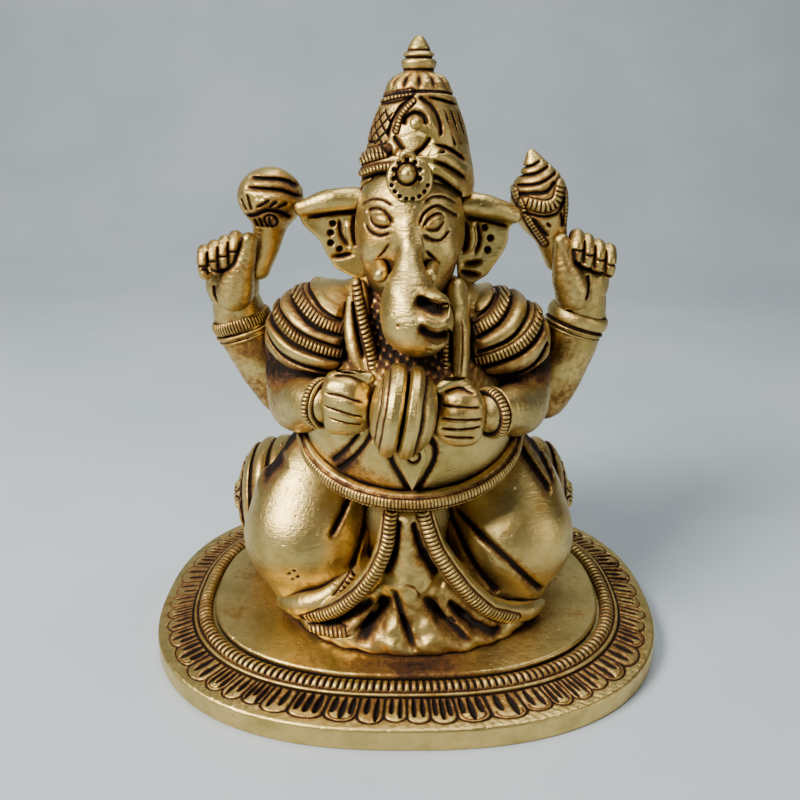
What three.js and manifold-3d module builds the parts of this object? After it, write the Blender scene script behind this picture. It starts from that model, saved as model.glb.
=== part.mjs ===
// Seated four-armed Ganesha in cast brass, playing a pair of small hand cymbals,
// on an oval plinth with a lotus-petal border and a roped moulding.
//
// Millimetres, +Z up. The front faces -Y, and the origin is the centre of the underside.
// "right" and "left" are the figure's own, so the right-hand pieces lie on the -X side.
// Every piece is a separate casting. Neighbours meet across a brazing gap.
import * as THREE from "three";
import { mergeVertices } from "three/addons/utils/BufferGeometryUtils.js";
import Module from "manifold-3d";

// Driving dimensions.
const TOTAL_HEIGHT = 100;
const BASE_HALF_WIDTH = 45;
const BASE_HALF_DEPTH = 36;
const BASE_SQUARENESS = 2.43; // exponent of the superellipse; 2 is an ellipse
const WALL_HEIGHT = 3.9;
const BED_HEIGHT = 4.6; // inner edge of the petal border, where the rope and the seat lie
const SEAT_HEIGHT = 5.9; // top of the platform that the figure sits on
const PETAL_INSET = 6.2; // where the petals end and the rope moulding begins
const ROPE_INSET = 9.5;
const SEAT_INSET = 9.9;
const BRAZE_GAP = 0.3;
const FACET_TOLERANCE = 0.2;
const CROWN_X = 1.7; // the figure's crown leans a little to its left
const CROWN_Y = 0.5;

const BRASS = { color: 0xb08d45, roughness: 0.3, metalness: 1 };
const OLD_BRASS = { color: 0x8f6e33, roughness: 0.4, metalness: 1 };

const kit = await Module();
kit.setup();

// ---------------------------------------------------------------- solids and meshes

// A closed three.js geometry as a solid. Collapsed triangles, as at a lathe's poles, are dropped.
function solidOf(geometry) {
  const bare = geometry.index ? geometry.toNonIndexed() : geometry.clone();
  bare.deleteAttribute("normal");
  bare.deleteAttribute("uv");
  const merged = mergeVertices(bare, 1e-4);
  const corners = merged.index.array;
  const kept = [];
  for (let i = 0; i < corners.length; i += 3) {
    const [a, b, c] = corners.slice(i, i + 3);
    if (a !== b && b !== c && c !== a) kept.push(a, b, c);
  }
  return new kit.Manifold(
    new kit.Mesh({
      numProp: 3,
      vertProperties: merged.attributes.position.array,
      triVerts: new Uint32Array(kept),
    }),
  );
}

function meshOf(name, solid, finish) {
  const { vertProperties, triVerts, numProp } = solid.getMesh();
  const count = vertProperties.length / numProp;
  const position = new Float32Array(count * 3);
  for (let i = 0; i < count; i++) {
    position.set(vertProperties.subarray(i * numProp, i * numProp + 3), i * 3);
  }
  const geometry = new THREE.BufferGeometry()
    .setAttribute("position", new THREE.BufferAttribute(position, 3))
    .setIndex(new THREE.BufferAttribute(triVerts, 1));
  geometry.computeVertexNormals();
  const mesh = new THREE.Mesh(geometry, new THREE.MeshStandardMaterial(finish));
  mesh.name = name;
  return mesh;
}

const join = (solids) => solids.reduce((all, one) => all.add(one));

// The largest body of a cut solid, without the slivers and needless facets that a cut leaves.
function mainBody(solid) {
  const largest = solid
    .decompose()
    .reduce((a, b) => (a.volume() > b.volume() ? a : b));
  return largest.asOriginal().simplify(FACET_TOLERANCE);
}

// Turns a geometry made along +Y to run along an axis, and moves it to a place.
function along(geometry, axis, place) {
  const turn = new THREE.Quaternion().setFromUnitVectors(
    new THREE.Vector3(0, 1, 0),
    new THREE.Vector3(...axis).normalize(),
  );
  return geometry.applyQuaternion(turn).translate(...place);
}

// ---------------------------------------------------------------- shapes

function ball([x, y, z], [rx, ry, rz], grow = 0, detail = 15) {
  const sphere = new THREE.SphereGeometry(1, detail, Math.round(detail * 0.6));
  return solidOf(
    sphere.scale(rx + grow, ry + grow, rz + grow).translate(x, y, z),
  );
}

// A round-ended rod that tapers from one radius to another.
function rod(from, to, radiusFrom, radiusTo, sides = 12) {
  const start = new THREE.Vector3(...from);
  const run = new THREE.Vector3(...to).sub(start);
  const length = run.length();
  const slope = Math.asin((radiusFrom - radiusTo) / length);
  const steps = 3;
  const profile = [];
  for (let i = 0; i <= steps; i++) {
    const angle = -Math.PI / 2 + ((slope + Math.PI / 2) * i) / steps;
    const radius = radiusFrom * Math.cos(angle);
    profile.push([i ? radius : 0, radiusFrom * Math.sin(angle)]);
  }
  for (let i = 0; i <= steps; i++) {
    const angle = slope + ((Math.PI / 2 - slope) * i) / steps;
    const radius = radiusTo * Math.cos(angle);
    profile.push([i < steps ? radius : 0, length + radiusTo * Math.sin(angle)]);
  }
  return turned(profile, from, run.toArray(), sides);
}

// Rods through a chain of [x, y, z, radius] points.
function limb(points, grow = 0, sides = 12) {
  return join(
    points.slice(1).map((to, i) => {
      const from = points[i];
      return rod(
        from.slice(0, 3),
        to.slice(0, 3),
        from[3] + grow,
        to[3] + grow,
        sides,
      );
    }),
  );
}

// A lathed solid about an axis through a place. The profile is [radius, height] pairs.
function turned(profile, place, axis = [0, 0, 1], sides = 32) {
  const points = profile.map(([r, h]) => new THREE.Vector2(r, h));
  return solidOf(
    along(new THREE.LatheGeometry(points, sides), axis, place),
  );
}

// A lathed ring whose section is a rounded bar, lying across an axis.
function ring(place, axis, radius, width, thickness, grow = 0, sides = 24) {
  const half = width / 2 + grow;
  const inner = radius - thickness / 2 - grow;
  const outer = radius + thickness / 2 + grow;
  const round = Math.min(half, thickness / 2) * 0.6;
  const profile = [
    [inner, -half],
    [outer - round, -half],
    [outer, round - half],
    [outer, half - round],
    [outer - round, half],
    [inner, half],
    [inner, -half],
  ];
  return turned(profile, place, axis, sides);
}

// A round cord along a smooth curve through points.
function cord(points, radius, steps, sides = 8, closed = false) {
  const path = new THREE.CatmullRomCurve3(
    points.map((p) => new THREE.Vector3(...p)),
    closed,
  );
  const section = new THREE.Shape();
  section.absarc(0, 0, radius, 0, Math.PI * 2, false);
  return solidOf(
    new THREE.ExtrudeGeometry(section, {
      extrudePath: path,
      steps,
      curveSegments: sides / 2,
    }),
  );
}

// A flat plate standing in the XZ plane, centred on a depth, with an outline of [x, z] pairs.
function plate(outline, middleY, thickness, grow = 0) {
  const shape = new THREE.Shape(outline.map(([x, z]) => new THREE.Vector2(x, z)));
  const depth = thickness + 2 * grow;
  const geometry = new THREE.ExtrudeGeometry(shape, {
    depth: depth - 1,
    bevelThickness: 0.5,
    bevelSize: 0.4 + grow,
    bevelOffset: -0.4,
    bevelSegments: 1,
    curveSegments: 6,
  });
  return solidOf(
    geometry.rotateX(Math.PI / 2).translate(0, middleY + depth / 2 - 0.5, 0),
  );
}

// A block used only to trim other solids.
function block([x0, y0, z0], [x1, y1, z1]) {
  const box = new THREE.BoxGeometry(x1 - x0, y1 - y0, z1 - z0);
  return solidOf(
    box.translate((x0 + x1) / 2, (y0 + y1) / 2, (z0 + z1) / 2),
  );
}

// Distance from the centre to the plinth's edge in a direction of the plan.
function edgeRadius(angle) {
  const across = Math.abs(Math.cos(angle) / BASE_HALF_WIDTH) ** BASE_SQUARENESS;
  const deep = Math.abs(Math.sin(angle) / BASE_HALF_DEPTH) ** BASE_SQUARENESS;
  return (across + deep) ** (-1 / BASE_SQUARENESS);
}

// A solid swept round the plinth. The section is [inset from the edge, height] pairs,
// and an inset of MIDDLE stands for the centre.
const MIDDLE = 500;
function plinthSweep(section, segments = 64) {
  const points = section.map(([inset, h]) => new THREE.Vector2(MIDDLE - inset, h));
  const geometry = new THREE.LatheGeometry(points, segments).rotateX(Math.PI / 2);
  const position = geometry.getAttribute("position");
  for (let i = 0; i < position.count; i++) {
    const reach = Math.hypot(position.getX(i), position.getY(i));
    const angle = Math.atan2(position.getY(i), position.getX(i));
    const radius = reach < 1 ? 0 : edgeRadius(angle) - (MIDDLE - reach);
    position.setXYZ(
      i,
      radius * Math.cos(angle),
      radius * Math.sin(angle),
      position.getZ(i),
    );
  }
  return solidOf(geometry);
}

// ---------------------------------------------------------------- plinth

const plinth = () =>
  plinthSweep([
    [MIDDLE, 0],
    [0.5, 0],
    [0, 0.5],
    [0, WALL_HEIGHT - 0.4],
    [0.5, WALL_HEIGHT],
    [PETAL_INSET, BED_HEIGHT],
    [MIDDLE, BED_HEIGHT],
  ]);

const ropeRing = () =>
  plinthSweep([
    [ROPE_INSET, BED_HEIGHT],
    [PETAL_INSET, BED_HEIGHT],
    [PETAL_INSET, BED_HEIGHT + 0.4],
    [PETAL_INSET + 1.1, BED_HEIGHT + 0.9],
    [ROPE_INSET - 1, BED_HEIGHT + 1.2],
    [ROPE_INSET, BED_HEIGHT],
  ]);

const seatPlatform = () =>
  plinthSweep([
    [MIDDLE, BED_HEIGHT],
    [SEAT_INSET, BED_HEIGHT],
    [SEAT_INSET, SEAT_HEIGHT - 0.5],
    [SEAT_INSET + 0.7, SEAT_HEIGHT],
    [MIDDLE, SEAT_HEIGHT],
  ]);

// ---------------------------------------------------------------- body and dress

const torso = (g) =>
  join([
    ball([0.5, -3.5, 41], [17.5, 16, 15.5], g, 20),
    ball([0.3, 1.5, 54], [17, 10.5, 11], g),
    ball([0, 4, 20], [16, 11, 15], g),
    limb([[-13.5, 3, 56, 6.3], [14, 3, 55, 6.3]], g),
    limb([[0.5, 0.5, 60, 6.5], [0.8, 0, 67, 6]], g),
  ]);

const rightLeg = (g) =>
  join([
    limb([[-11, 5, 29, 9], [-15.5, 0.5, 26.5, 10.3]], g),
    limb([[-15.5, 0.5, 26.5, 10.3], [-17.5, -4.5, 19.5, 11]], g, 14),
    limb([[-17, -6, 12.5, 7.5], [-5, -11, 10, 5]], g),
  ]);

const leftLeg = (g) =>
  join([
    limb([[11.5, 5, 29, 9], [16.2, 0.5, 26.5, 10.3]], g),
    limb([[16.2, 0.5, 26.5, 10.3], [18.4, -4.5, 19.5, 11]], g, 14),
    limb([[18, -6, 12.5, 7.5], [6, -11, 10, 5]], g),
  ]);

// The ends of the bolster are gathered to a small boss.
const BOLSTER = { at: [-0.5, 12, SEAT_HEIGHT + 12.1], radius: 12.1, half: 33 };
const bolster = (g) =>
  turned(
    [
      [0, -BOLSTER.half - g],
      [2.6 + g, -BOLSTER.half - g],
      [3.2 + g, 1 - BOLSTER.half - g],
      [8.2 + g, 2.2 - BOLSTER.half - g],
      [11 + g, 5 - BOLSTER.half],
      [BOLSTER.radius + g, 10 - BOLSTER.half],
      [BOLSTER.radius + g, BOLSTER.half - 10],
      [11 + g, BOLSTER.half - 5],
      [8.2 + g, BOLSTER.half - 2.2 + g],
      [3.2 + g, BOLSTER.half - 1 + g],
      [2.6 + g, BOLSTER.half + g],
      [0, BOLSTER.half + g],
    ],
    BOLSTER.at,
    [1, 0, 0],
    24,
  );

// The cloth between the shins spreads into a fan of pleats that lies on the seat.
const dhotiPleats = (g) =>
  join([
    ball([0.9, -7, 7], [21.5, 15, 5.6], g, 20),
    limb([[0.2, -14.2, 27, 4.2], [0.6, -13.4, 13, 6.6]], g),
  ]);

const RIGHT_HEM = [
  [-4, -17.4, 29],
  [-5.4, -18.6, 22],
  [-8, -18.4, 15.5],
  [-13, -16, 10.4],
  [-20.3, -11.2, 8.4],
];
const LEFT_HEM = [
  [4, -17.4, 29],
  [6.6, -18.6, 22],
  [10.2, -18.4, 15.5],
  [15, -16.2, 11],
  [22, -12, 8.8],
];
const HEM_RADIUS = 2;
const rightHem = (g) => cord(RIGHT_HEM, HEM_RADIUS + g, 16);
const leftHem = (g) => cord(LEFT_HEM, HEM_RADIUS + g, 16);

// The belt hangs under the belly, from hip to hip.
const BELT_RADIUS = 1.6;
function waistBelt(g) {
  const points = [];
  for (let i = 0; i <= 8; i++) {
    const sweep = ((i / 8) * 2 - 1) * 1.45;
    points.push([
      0.6 + 17.3 * Math.sin(sweep),
      -4.6 - 14.2 * Math.cos(sweep),
      39.2 - 6.3 * Math.cos(sweep),
    ]);
  }
  return cord(points, BELT_RADIUS + g, 24);
}

// A drop-shaped ornament hung over the navel, point down.
function navelPendant(g) {
  const outline = [];
  const steps = 14;
  for (let i = 0; i <= steps; i++) {
    const angle = -0.35 + ((Math.PI + 0.7) * i) / steps;
    outline.push([0.7 + 3 * Math.cos(angle), 40.6 + 3 * Math.sin(angle)]);
  }
  outline.push([0.7, 34.6]);
  return plate(outline, -19.2, 2.4, g);
}

const SHAWL_RIGHT = { at: [-12.6, 2, 53.8], size: [11.2, 11.6, 9.2] };
const SHAWL_LEFT = { at: [13.6, 2, 52.8], size: [10.8, 11.6, 8.9] };
const SHAWL_EDGE = 8.3; // the shawl stops this far from the middle, beside the sash
const rightShawl = (g) =>
  ball(SHAWL_RIGHT.at, SHAWL_RIGHT.size, g, 18).subtract(
    block([-SHAWL_EDGE + g, -20, 30], [20, 20, 80]),
  );
const leftShawl = (g) =>
  ball(SHAWL_LEFT.at, SHAWL_LEFT.size, g, 18).subtract(
    block([-20, -20, 30], [SHAWL_EDGE - g, 20, 80]),
  );

const rightSash = (g) =>
  limb(
    [[-6.4, -5.5, 63, 2], [-6.8, -9.5, 57.5, 2], [-6.6, -13.2, 51.5, 2]],
    g,
    10,
  );
const leftSash = (g) =>
  limb([[7, -5.5, 62, 2], [7.2, -9.8, 56.5, 2], [7, -13.6, 50.5, 2]], g, 10);

// ---------------------------------------------------------------- head

const head = (g) =>
  join([
    ball([0.9, -1.6, 72], [8.6, 9.4, 9.4], g, 20),
    ball([0.7, -1.6, 66.5], [7.2, 8.4, 7], g),
  ]);

const TRUNK = [
  [0.4, -9.3, 76, 2.9],
  [0, -11.6, 71, 3.1],
  [-0.1, -13.2, 66.5, 3.6],
  [0.3, -15.6, 61.2, 4.5],
  [1.7, -16.2, 59.8, 4.3],
  [3.1, -16.8, 61.8, 2.7],
];
const trunk = (g) => limb(TRUNK, g);

const rightTusk = (g) =>
  limb([[-3.7, -9, 69.5, 1.5], [-4.5, -12.8, 66.6, 1.5]], g, 10);
const leftTusk = (g) =>
  limb([[4.7, -9, 69.5, 1.4], [5, -12, 66.8, 1.3]], g, 10);

// Ears stand out flat from the head, with a thick rolled rim along the top.
const RIGHT_EAR = [
  [-6.5, 77.3],
  [-12.5, 77.2],
  [-17, 75],
  [-17.2, 72.6],
  [-14.8, 69.2],
  [-12.6, 66],
  [-10.6, 64.2],
  [-6.5, 63.6],
];
const LEFT_EAR = [
  [8.5, 76.9],
  [14, 76.5],
  [17.8, 74.6],
  [17, 71.8],
  [16.4, 68],
  [14.4, 64.6],
  [12.2, 62.6],
  [8.5, 62.6],
];
const EAR_Y = 2.2;
const rightEar = (g) =>
  plate(RIGHT_EAR, EAR_Y, 2.4, g).add(
    limb([[-7, 1, 77.3, 1.5], [-13, 0.9, 76.9, 1.5], [-17.3, 1.8, 74.6, 1.5]], g, 10),
  );
const leftEar = (g) =>
  plate(LEFT_EAR, EAR_Y, 2.4, g).add(
    limb([[9, 1, 76.9, 1.5], [14.5, 0.9, 76.2, 1.5], [18, 1.8, 74.3, 1.5]], g, 10),
  );

// A tall crown: a domed body, a waist and a petalled cap.
const crown = (g) =>
  turned(
    [
      [0, 78.4 - g],
      [8.3 + g, 78.4 - g],
      [8.5 + g, 80],
      [8.1 + g, 83],
      [7.3 + g, 86.4],
      [6.2 + g, 89.6],
      [5.5 + g, 91.2],
      [5.9 + g, 91.9],
      [5 + g, 93.2],
      [2.9 + g, 94.6 + g],
      [0, 94.6 + g],
    ],
    [CROWN_X, CROWN_Y, 0],
    [0, 0, 1],
    28,
  );

const crownFinial = (g) =>
  turned(
    [
      [0, 94.6 + BRAZE_GAP],
      [2.1 + g, 94.6 + BRAZE_GAP],
      [2.6 + g, 95.8],
      [2.3 + g, 96.6],
      [1.9 + g, 97.9],
      [1.2 + g, 98.6],
      [0.9 + g, 99.4],
      [0, TOTAL_HEIGHT + g],
    ],
    [CROWN_X, CROWN_Y, 0],
    [0, 0, 1],
    20,
  );

// The wound band at the foot of the crown rides higher over the forehead than at the nape.
function crownBand(g) {
  const points = [];
  for (let i = 0; i < 16; i++) {
    const angle = (i / 16) * 2 * Math.PI;
    points.push([
      1.3 + 7.6 * Math.cos(angle),
      CROWN_Y - 1 + 8.3 * Math.sin(angle),
      79.6 - 1.4 * Math.sin(angle),
    ]);
  }
  return cord(points, 1.9 + g, 28, 8, true);
}

const JEWEL = [0.1, -10.3, 81.3];
const foreheadJewel = (g) =>
  ball(JEWEL, [1.9, 1.9, 1.9], g, 14).add(
    ring(JEWEL, [0, 1, 0], 2.1, 1.4, 1.2, g, 16),
  );

// ---------------------------------------------------------------- front arms and cymbals

const frontRightArm = (g) =>
  limb(
    [
      [-18.3, 1, 52, 5.6],
      [-17.4, -5.2, 44.8, 5.4],
      [-15.8, -12, 46.8, 3.6],
      [-13.2, -14.6, 47.7, 3.1],
    ],
    g,
  );
const frontLeftArm = (g) =>
  limb(
    [
      [18.7, 1, 51.2, 5.6],
      [18.2, -5.2, 44.3, 5.4],
      [16.2, -12, 45.7, 3.6],
      [13, -15, 46.2, 3.1],
    ],
    g,
  );

const FRONT_BRACELET = { radius: 3.6, width: 2, thickness: 1.4 };
const frontBracelet = (place, axis) => (g) =>
  ring(
    place,
    axis,
    FRONT_BRACELET.radius,
    FRONT_BRACELET.width,
    FRONT_BRACELET.thickness,
    g,
    20,
  );
const frontRightBracelet = frontBracelet([-14.4, -13.5, 47.4], [0.8, -0.6, 0.15]);
const frontLeftBracelet = frontBracelet([14.2, -13.8, 46], [-0.8, -0.6, 0.1]);

// A closed hand: a palm with four fingers, one above another, that reach round the cymbal's strap.
const frontHand = (palm, knuckle, tip) => (g) => {
  const fingers = [-1.5, -0.5, 0.5, 1.5].map((row) => {
    const lift = row * 2;
    const bend = 0.25 * row * row;
    return limb(
      [
        [knuckle[0], knuckle[1] + bend, knuckle[2] + lift, 1.5],
        [tip[0], tip[1] + bend, tip[2] + lift * 0.9, 1.35],
      ],
      g,
      7,
    );
  });
  return join([ball(palm, [3.5, 2.9, 4.3], g, 12), ...fingers]);
};
const frontRightHand = frontHand(
  [-10.6, -16, 47.6],
  [-10, -18.4, 47.9],
  [-6.8, -18.8, 47.2],
);
const frontLeftHand = frontHand(
  [9.6, -16.6, 46.4],
  [9.4, -19, 46.7],
  [5.2, -19.6, 46.2],
);

// The two cymbals are held face to face on one axis, leaning a little.
const CYMBAL_CENTRE = [-0.8, -20.2, 48.4];
const CYMBAL_AXIS = [0.987, 0, -0.16];
const cymbal = (side) => (g) =>
  turned(
    [
      [0, 0.25 - g],
      [6.6 + g, 0.25 - g],
      [6.7 + g, 1.3 + g],
      [5.7 + g, 2.3 + g],
      [4.4 + g, 3.5 + g],
      [2.5 + g, 4.5 + g],
      [0, 4.5 + g],
    ],
    CYMBAL_CENTRE,
    CYMBAL_AXIS.map((v) => v * side),
    24,
  );

// ---------------------------------------------------------------- rear arms and emblems

const rearRightArm = (g) =>
  limb(
    [
      [-15, 6.5, 52.5, 6],
      [-21, 8, 44.5, 4.8],
      [-22.3, 8.2, 41, 4],
      [-26.4, 8.2, 48.5, 4.9],
      [-29, 8, 54.5, 4.9],
    ],
    g,
  );
const rearLeftArm = (g) =>
  limb(
    [
      [15.5, 6.5, 51.5, 6],
      [23, 8, 43.5, 4.9],
      [25.3, 8.2, 40.8, 4.4],
      [28.4, 8.2, 48.5, 4.9],
      [30.2, 8, 55.2, 4.8],
    ],
    g,
  );

const rearBracelet = (place, axis) => (g) => ring(place, axis, 4.7, 4.4, 1.7, g);
const rearRightBracelet = rearBracelet([-28.9, 8, 54], [-0.4, 0, 0.92]);
const rearLeftBracelet = rearBracelet([30, 8, 54.8], [0.33, 0, 0.94]);

// An open palm with four fingers curled over side by side, and a thumb against the emblem.
const rearHand = (palm, fingersAt, spread, thumb) => (g) => {
  const fingers = [-1.5, -0.5, 0.5, 1.5].map((row) => {
    const [x, y, z] = fingersAt;
    const [stepX, stepZ] = spread;
    const at = [x + row * stepX, y, z + row * stepZ];
    return limb([[...at, 1.6], [at[0], at[1] - 3.4, at[2] - 1, 1.5]], g, 7);
  });
  return join([ball(palm, [4.8, 4, 5.2], g), ...fingers, limb(thumb, g, 10)]);
};
const rearRightHand = rearHand(
  [-29.7, 6.6, 61.2],
  [-29.8, 5.2, 66.8],
  [-2.05, -0.95],
  [[-27.2, 5.8, 61.5, 3], [-25.4, 5.2, 66.3, 1.8]],
);
const rearLeftHand = rearHand(
  [30.2, 6.6, 61.6],
  [30.8, 5.2, 67.4],
  [2.05, -0.85],
  [[27.8, 5.8, 61.8, 3], [26.2, 5.2, 66.4, 1.8]],
);

const mace = (g) =>
  ball([-22.3, 5.4, 76], [5.3, 5.2, 4.9], g).add(
    limb([[-22.6, 5.8, 72, 2.4], [-25.2, 7, 64, 2.3]], g, 12),
  );

const conch = (g) =>
  limb(
    [
      [20.4, 5.2, 82.3, 0.7],
      [21.6, 5.2, 78, 3.5],
      [22.2, 5.3, 75.3, 4.6],
      [24.3, 5.6, 70, 2.4],
      [25.6, 6.4, 65.5, 1.9],
    ],
    g,
  );

// ---------------------------------------------------------------- assembly

// Each piece is cut back from the ones before it, so the order says which piece keeps its shape.
const FIGURE = [
  ["crown_band", crownBand, OLD_BRASS],
  ["torso", torso, BRASS],
  ["head", head, BRASS],
  ["crown", crown, BRASS],
  ["crown_finial", crownFinial, BRASS],
  ["forehead_jewel", foreheadJewel, BRASS],
  ["trunk", trunk, BRASS],
  ["right_tusk", rightTusk, BRASS],
  ["left_tusk", leftTusk, BRASS],
  ["right_ear", rightEar, BRASS],
  ["left_ear", leftEar, BRASS],
  ["waist_belt", waistBelt, OLD_BRASS],
  ["navel_pendant", navelPendant, BRASS],
  ["right_leg", rightLeg, BRASS],
  ["left_leg", leftLeg, BRASS],
  ["dhoti_pleats", dhotiPleats, OLD_BRASS],
  ["right_hem", rightHem, OLD_BRASS],
  ["left_hem", leftHem, OLD_BRASS],
  ["bolster", bolster, OLD_BRASS],
  ["right_cymbal", cymbal(-1), BRASS],
  ["left_cymbal", cymbal(1), BRASS],
  ["right_sash", rightSash, OLD_BRASS],
  ["left_sash", leftSash, OLD_BRASS],
  ["right_shawl", rightShawl, OLD_BRASS],
  ["left_shawl", leftShawl, OLD_BRASS],
  ["front_right_bracelet", frontRightBracelet, OLD_BRASS],
  ["front_left_bracelet", frontLeftBracelet, OLD_BRASS],
  ["front_right_hand", frontRightHand, BRASS],
  ["front_left_hand", frontLeftHand, BRASS],
  ["front_right_arm", frontRightArm, BRASS],
  ["front_left_arm", frontLeftArm, BRASS],
  ["rear_right_bracelet", rearRightBracelet, OLD_BRASS],
  ["rear_left_bracelet", rearLeftBracelet, OLD_BRASS],
  ["rear_right_arm", rearRightArm, BRASS],
  ["rear_left_arm", rearLeftArm, BRASS],
  ["rear_right_hand", rearRightHand, BRASS],
  ["rear_left_hand", rearLeftHand, BRASS],
  ["mace", mace, BRASS],
  ["conch", conch, BRASS],
];

function boxesMeet(a, b) {
  return [0, 1, 2].every((k) => a.min[k] < b.max[k] && b.min[k] < a.max[k]);
}

const idol = new THREE.Group();
idol.add(meshOf("base_plinth", plinth(), BRASS));
idol.add(meshOf("rope_ring", ropeRing(), OLD_BRASS));
idol.add(meshOf("seat_platform", seatPlatform(), BRASS));

const underSeat = block([-60, -60, -20], [60, 60, SEAT_HEIGHT]);
const placed = [];
for (const [name, build, finish] of FIGURE) {
  let solid = build(0);
  for (const other of placed) {
    if (boxesMeet(solid.boundingBox(), other.boundingBox())) {
      solid = solid.subtract(other);
    }
  }
  placed.push(build(BRAZE_GAP));
  idol.add(meshOf(name, mainBody(solid.subtract(underSeat)), finish));
}

export default idol;
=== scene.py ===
import math

import bpy
import numpy as np
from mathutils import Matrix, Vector


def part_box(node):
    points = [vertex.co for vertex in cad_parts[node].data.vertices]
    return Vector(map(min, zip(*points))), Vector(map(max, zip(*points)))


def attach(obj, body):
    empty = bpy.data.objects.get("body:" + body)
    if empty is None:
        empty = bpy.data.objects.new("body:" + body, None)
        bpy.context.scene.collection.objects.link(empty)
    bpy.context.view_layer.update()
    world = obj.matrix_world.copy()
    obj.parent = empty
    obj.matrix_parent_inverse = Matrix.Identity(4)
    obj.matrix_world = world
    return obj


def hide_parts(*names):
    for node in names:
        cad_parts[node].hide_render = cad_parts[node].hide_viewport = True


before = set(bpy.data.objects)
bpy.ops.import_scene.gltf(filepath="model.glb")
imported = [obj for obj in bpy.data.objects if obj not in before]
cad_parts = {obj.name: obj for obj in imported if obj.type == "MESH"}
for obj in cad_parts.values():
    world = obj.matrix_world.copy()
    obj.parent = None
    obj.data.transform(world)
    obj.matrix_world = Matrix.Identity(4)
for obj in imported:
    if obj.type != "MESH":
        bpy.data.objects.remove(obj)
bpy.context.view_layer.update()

# A cast brass Ganesha on a lotus plinth, sculpted as distance fields and meshed piece by piece.
# Lengths are in millimetres and turned to metres where a mesh is made. The figure faces -Y, and
# "right" and "left" are the figure's own, so its right side lies at -X.

MM = 0.001
FAR = 99.0
BLOCK = 6  # samples along one side of a block of the sculpting grid
SLACK = 1.3  # how far chased detail may move a surface
MARGIN = 0.9  # how far past its node's box a piece is sampled
REACH = 2.2  # how far past the box round its line a chased mark is worked out
LATTICE = 0.6  # spacing of the grid on which crevices are found

# Spacings of the sculpting grids, each of which divides LATTICE evenly.
FINE = 0.15
MEDIUM = 0.2
COARSE = 0.3

# The plinth's outline and levels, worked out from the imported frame.
_, PLINTH_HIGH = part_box("base_plinth")
_, SEAT_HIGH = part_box("seat_platform")
_, ROPE_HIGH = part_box("rope_ring")
HALF_WIDTH = PLINTH_HIGH.x / MM
HALF_DEPTH = PLINTH_HIGH.y / MM
SQUARENESS = 2.43
BED_HEIGHT = PLINTH_HIGH.z / MM
WALL_HEIGHT = BED_HEIGHT - 0.7
SEAT_HEIGHT = SEAT_HIGH.z / MM
ROPE_HEIGHT = ROPE_HIGH.z / MM
SEAT_INSET = HALF_WIDTH - SEAT_HIGH.x / MM
UNDERSIDE_INSET = 6.0  # how far in the plinth's side mesh reaches under it
BEDDING = 0.15  # how far the figure is let into the seat
PETAL_MARGIN = 1.3
PETAL_INSET = HALF_WIDTH - ROPE_HIGH.x / MM
PETALS = 57
ROPE_NOTCHES = 195
ROPE_STRIP = 0.7
FINGERS = 4


# ------------------------------------------------------------------ distances


def length(v):
    return np.sqrt(np.einsum("ij,ij->i", v, v))


def smooth_path(stations, steps=5):
    """A Catmull-Rom curve through the stations. Extra columns, such as a radius, follow along."""
    knots = np.array(stations, float)
    if len(knots) == 2:
        return knots
    knots = np.vstack([2 * knots[0] - knots[1], knots, 2 * knots[-1] - knots[-2]])
    path = []
    for a, b, c, d in zip(knots, knots[1:], knots[2:], knots[3:]):
        for t in np.arange(steps) / steps:
            path.append(0.5 * (2 * b + (c - a) * t + (2 * a - 5 * b + 4 * c - d) * t * t
                               + (3 * b - a - 3 * c + d) * t ** 3))
    path.append(knots[-2])
    return np.array(path)


def smooth_loop(points):
    """The same curve through points that close on themselves."""
    steps = 4
    knots = np.array(points, float)
    wrapped = np.vstack([knots[-1:], knots, knots[:2]])
    return smooth_path(wrapped, steps)[steps:-steps - 1]


def blend_min(a, b, blend):
    """The smaller of two distances, with the crease between them filled."""
    if blend <= 0:
        return np.minimum(a, b)
    h = np.clip(0.5 + 0.5 * (b - a) / blend, 0, 1)
    return b + (a - b) * h - blend * h * (1 - h)


def outline(u, v, points):
    """Signed distance from a closed outline, negative inside."""
    best = np.full(len(u), FAR * FAR)
    side = np.ones(len(u))
    points = np.array(points, float)
    for a, b in zip(points, np.roll(points, -1, axis=0)):
        e0, e1 = b - a
        w0 = u - a[0]
        w1 = v - a[1]
        t = np.clip((w0 * e0 + w1 * e1) / (e0 * e0 + e1 * e1), 0, 1)
        best = np.minimum(best, (w0 - e0 * t) ** 2 + (w1 - e1 * t) ** 2)
        above = v >= a[1]
        below = v < b[1]
        left = e0 * w1 > e1 * w0
        side[(above & below & left) | (~above & ~below & ~left)] *= -1
    return side * np.sqrt(best)


def slab(across, depth, rounding):
    """Where an outline and a thickness meet, with the edge rounded."""
    a = across + rounding
    b = depth + rounding
    outer = np.sqrt(np.maximum(a, 0) ** 2 + np.maximum(b, 0) ** 2)
    return np.minimum(np.maximum(a, b), 0) + outer - rounding


def fading(arc, total, taper):
    """How strong a mark is along its line, rising from nothing over a taper at each end."""
    return np.clip(np.minimum(arc, total - arc) / taper, 0, 1) if taper else 1.0


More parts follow.
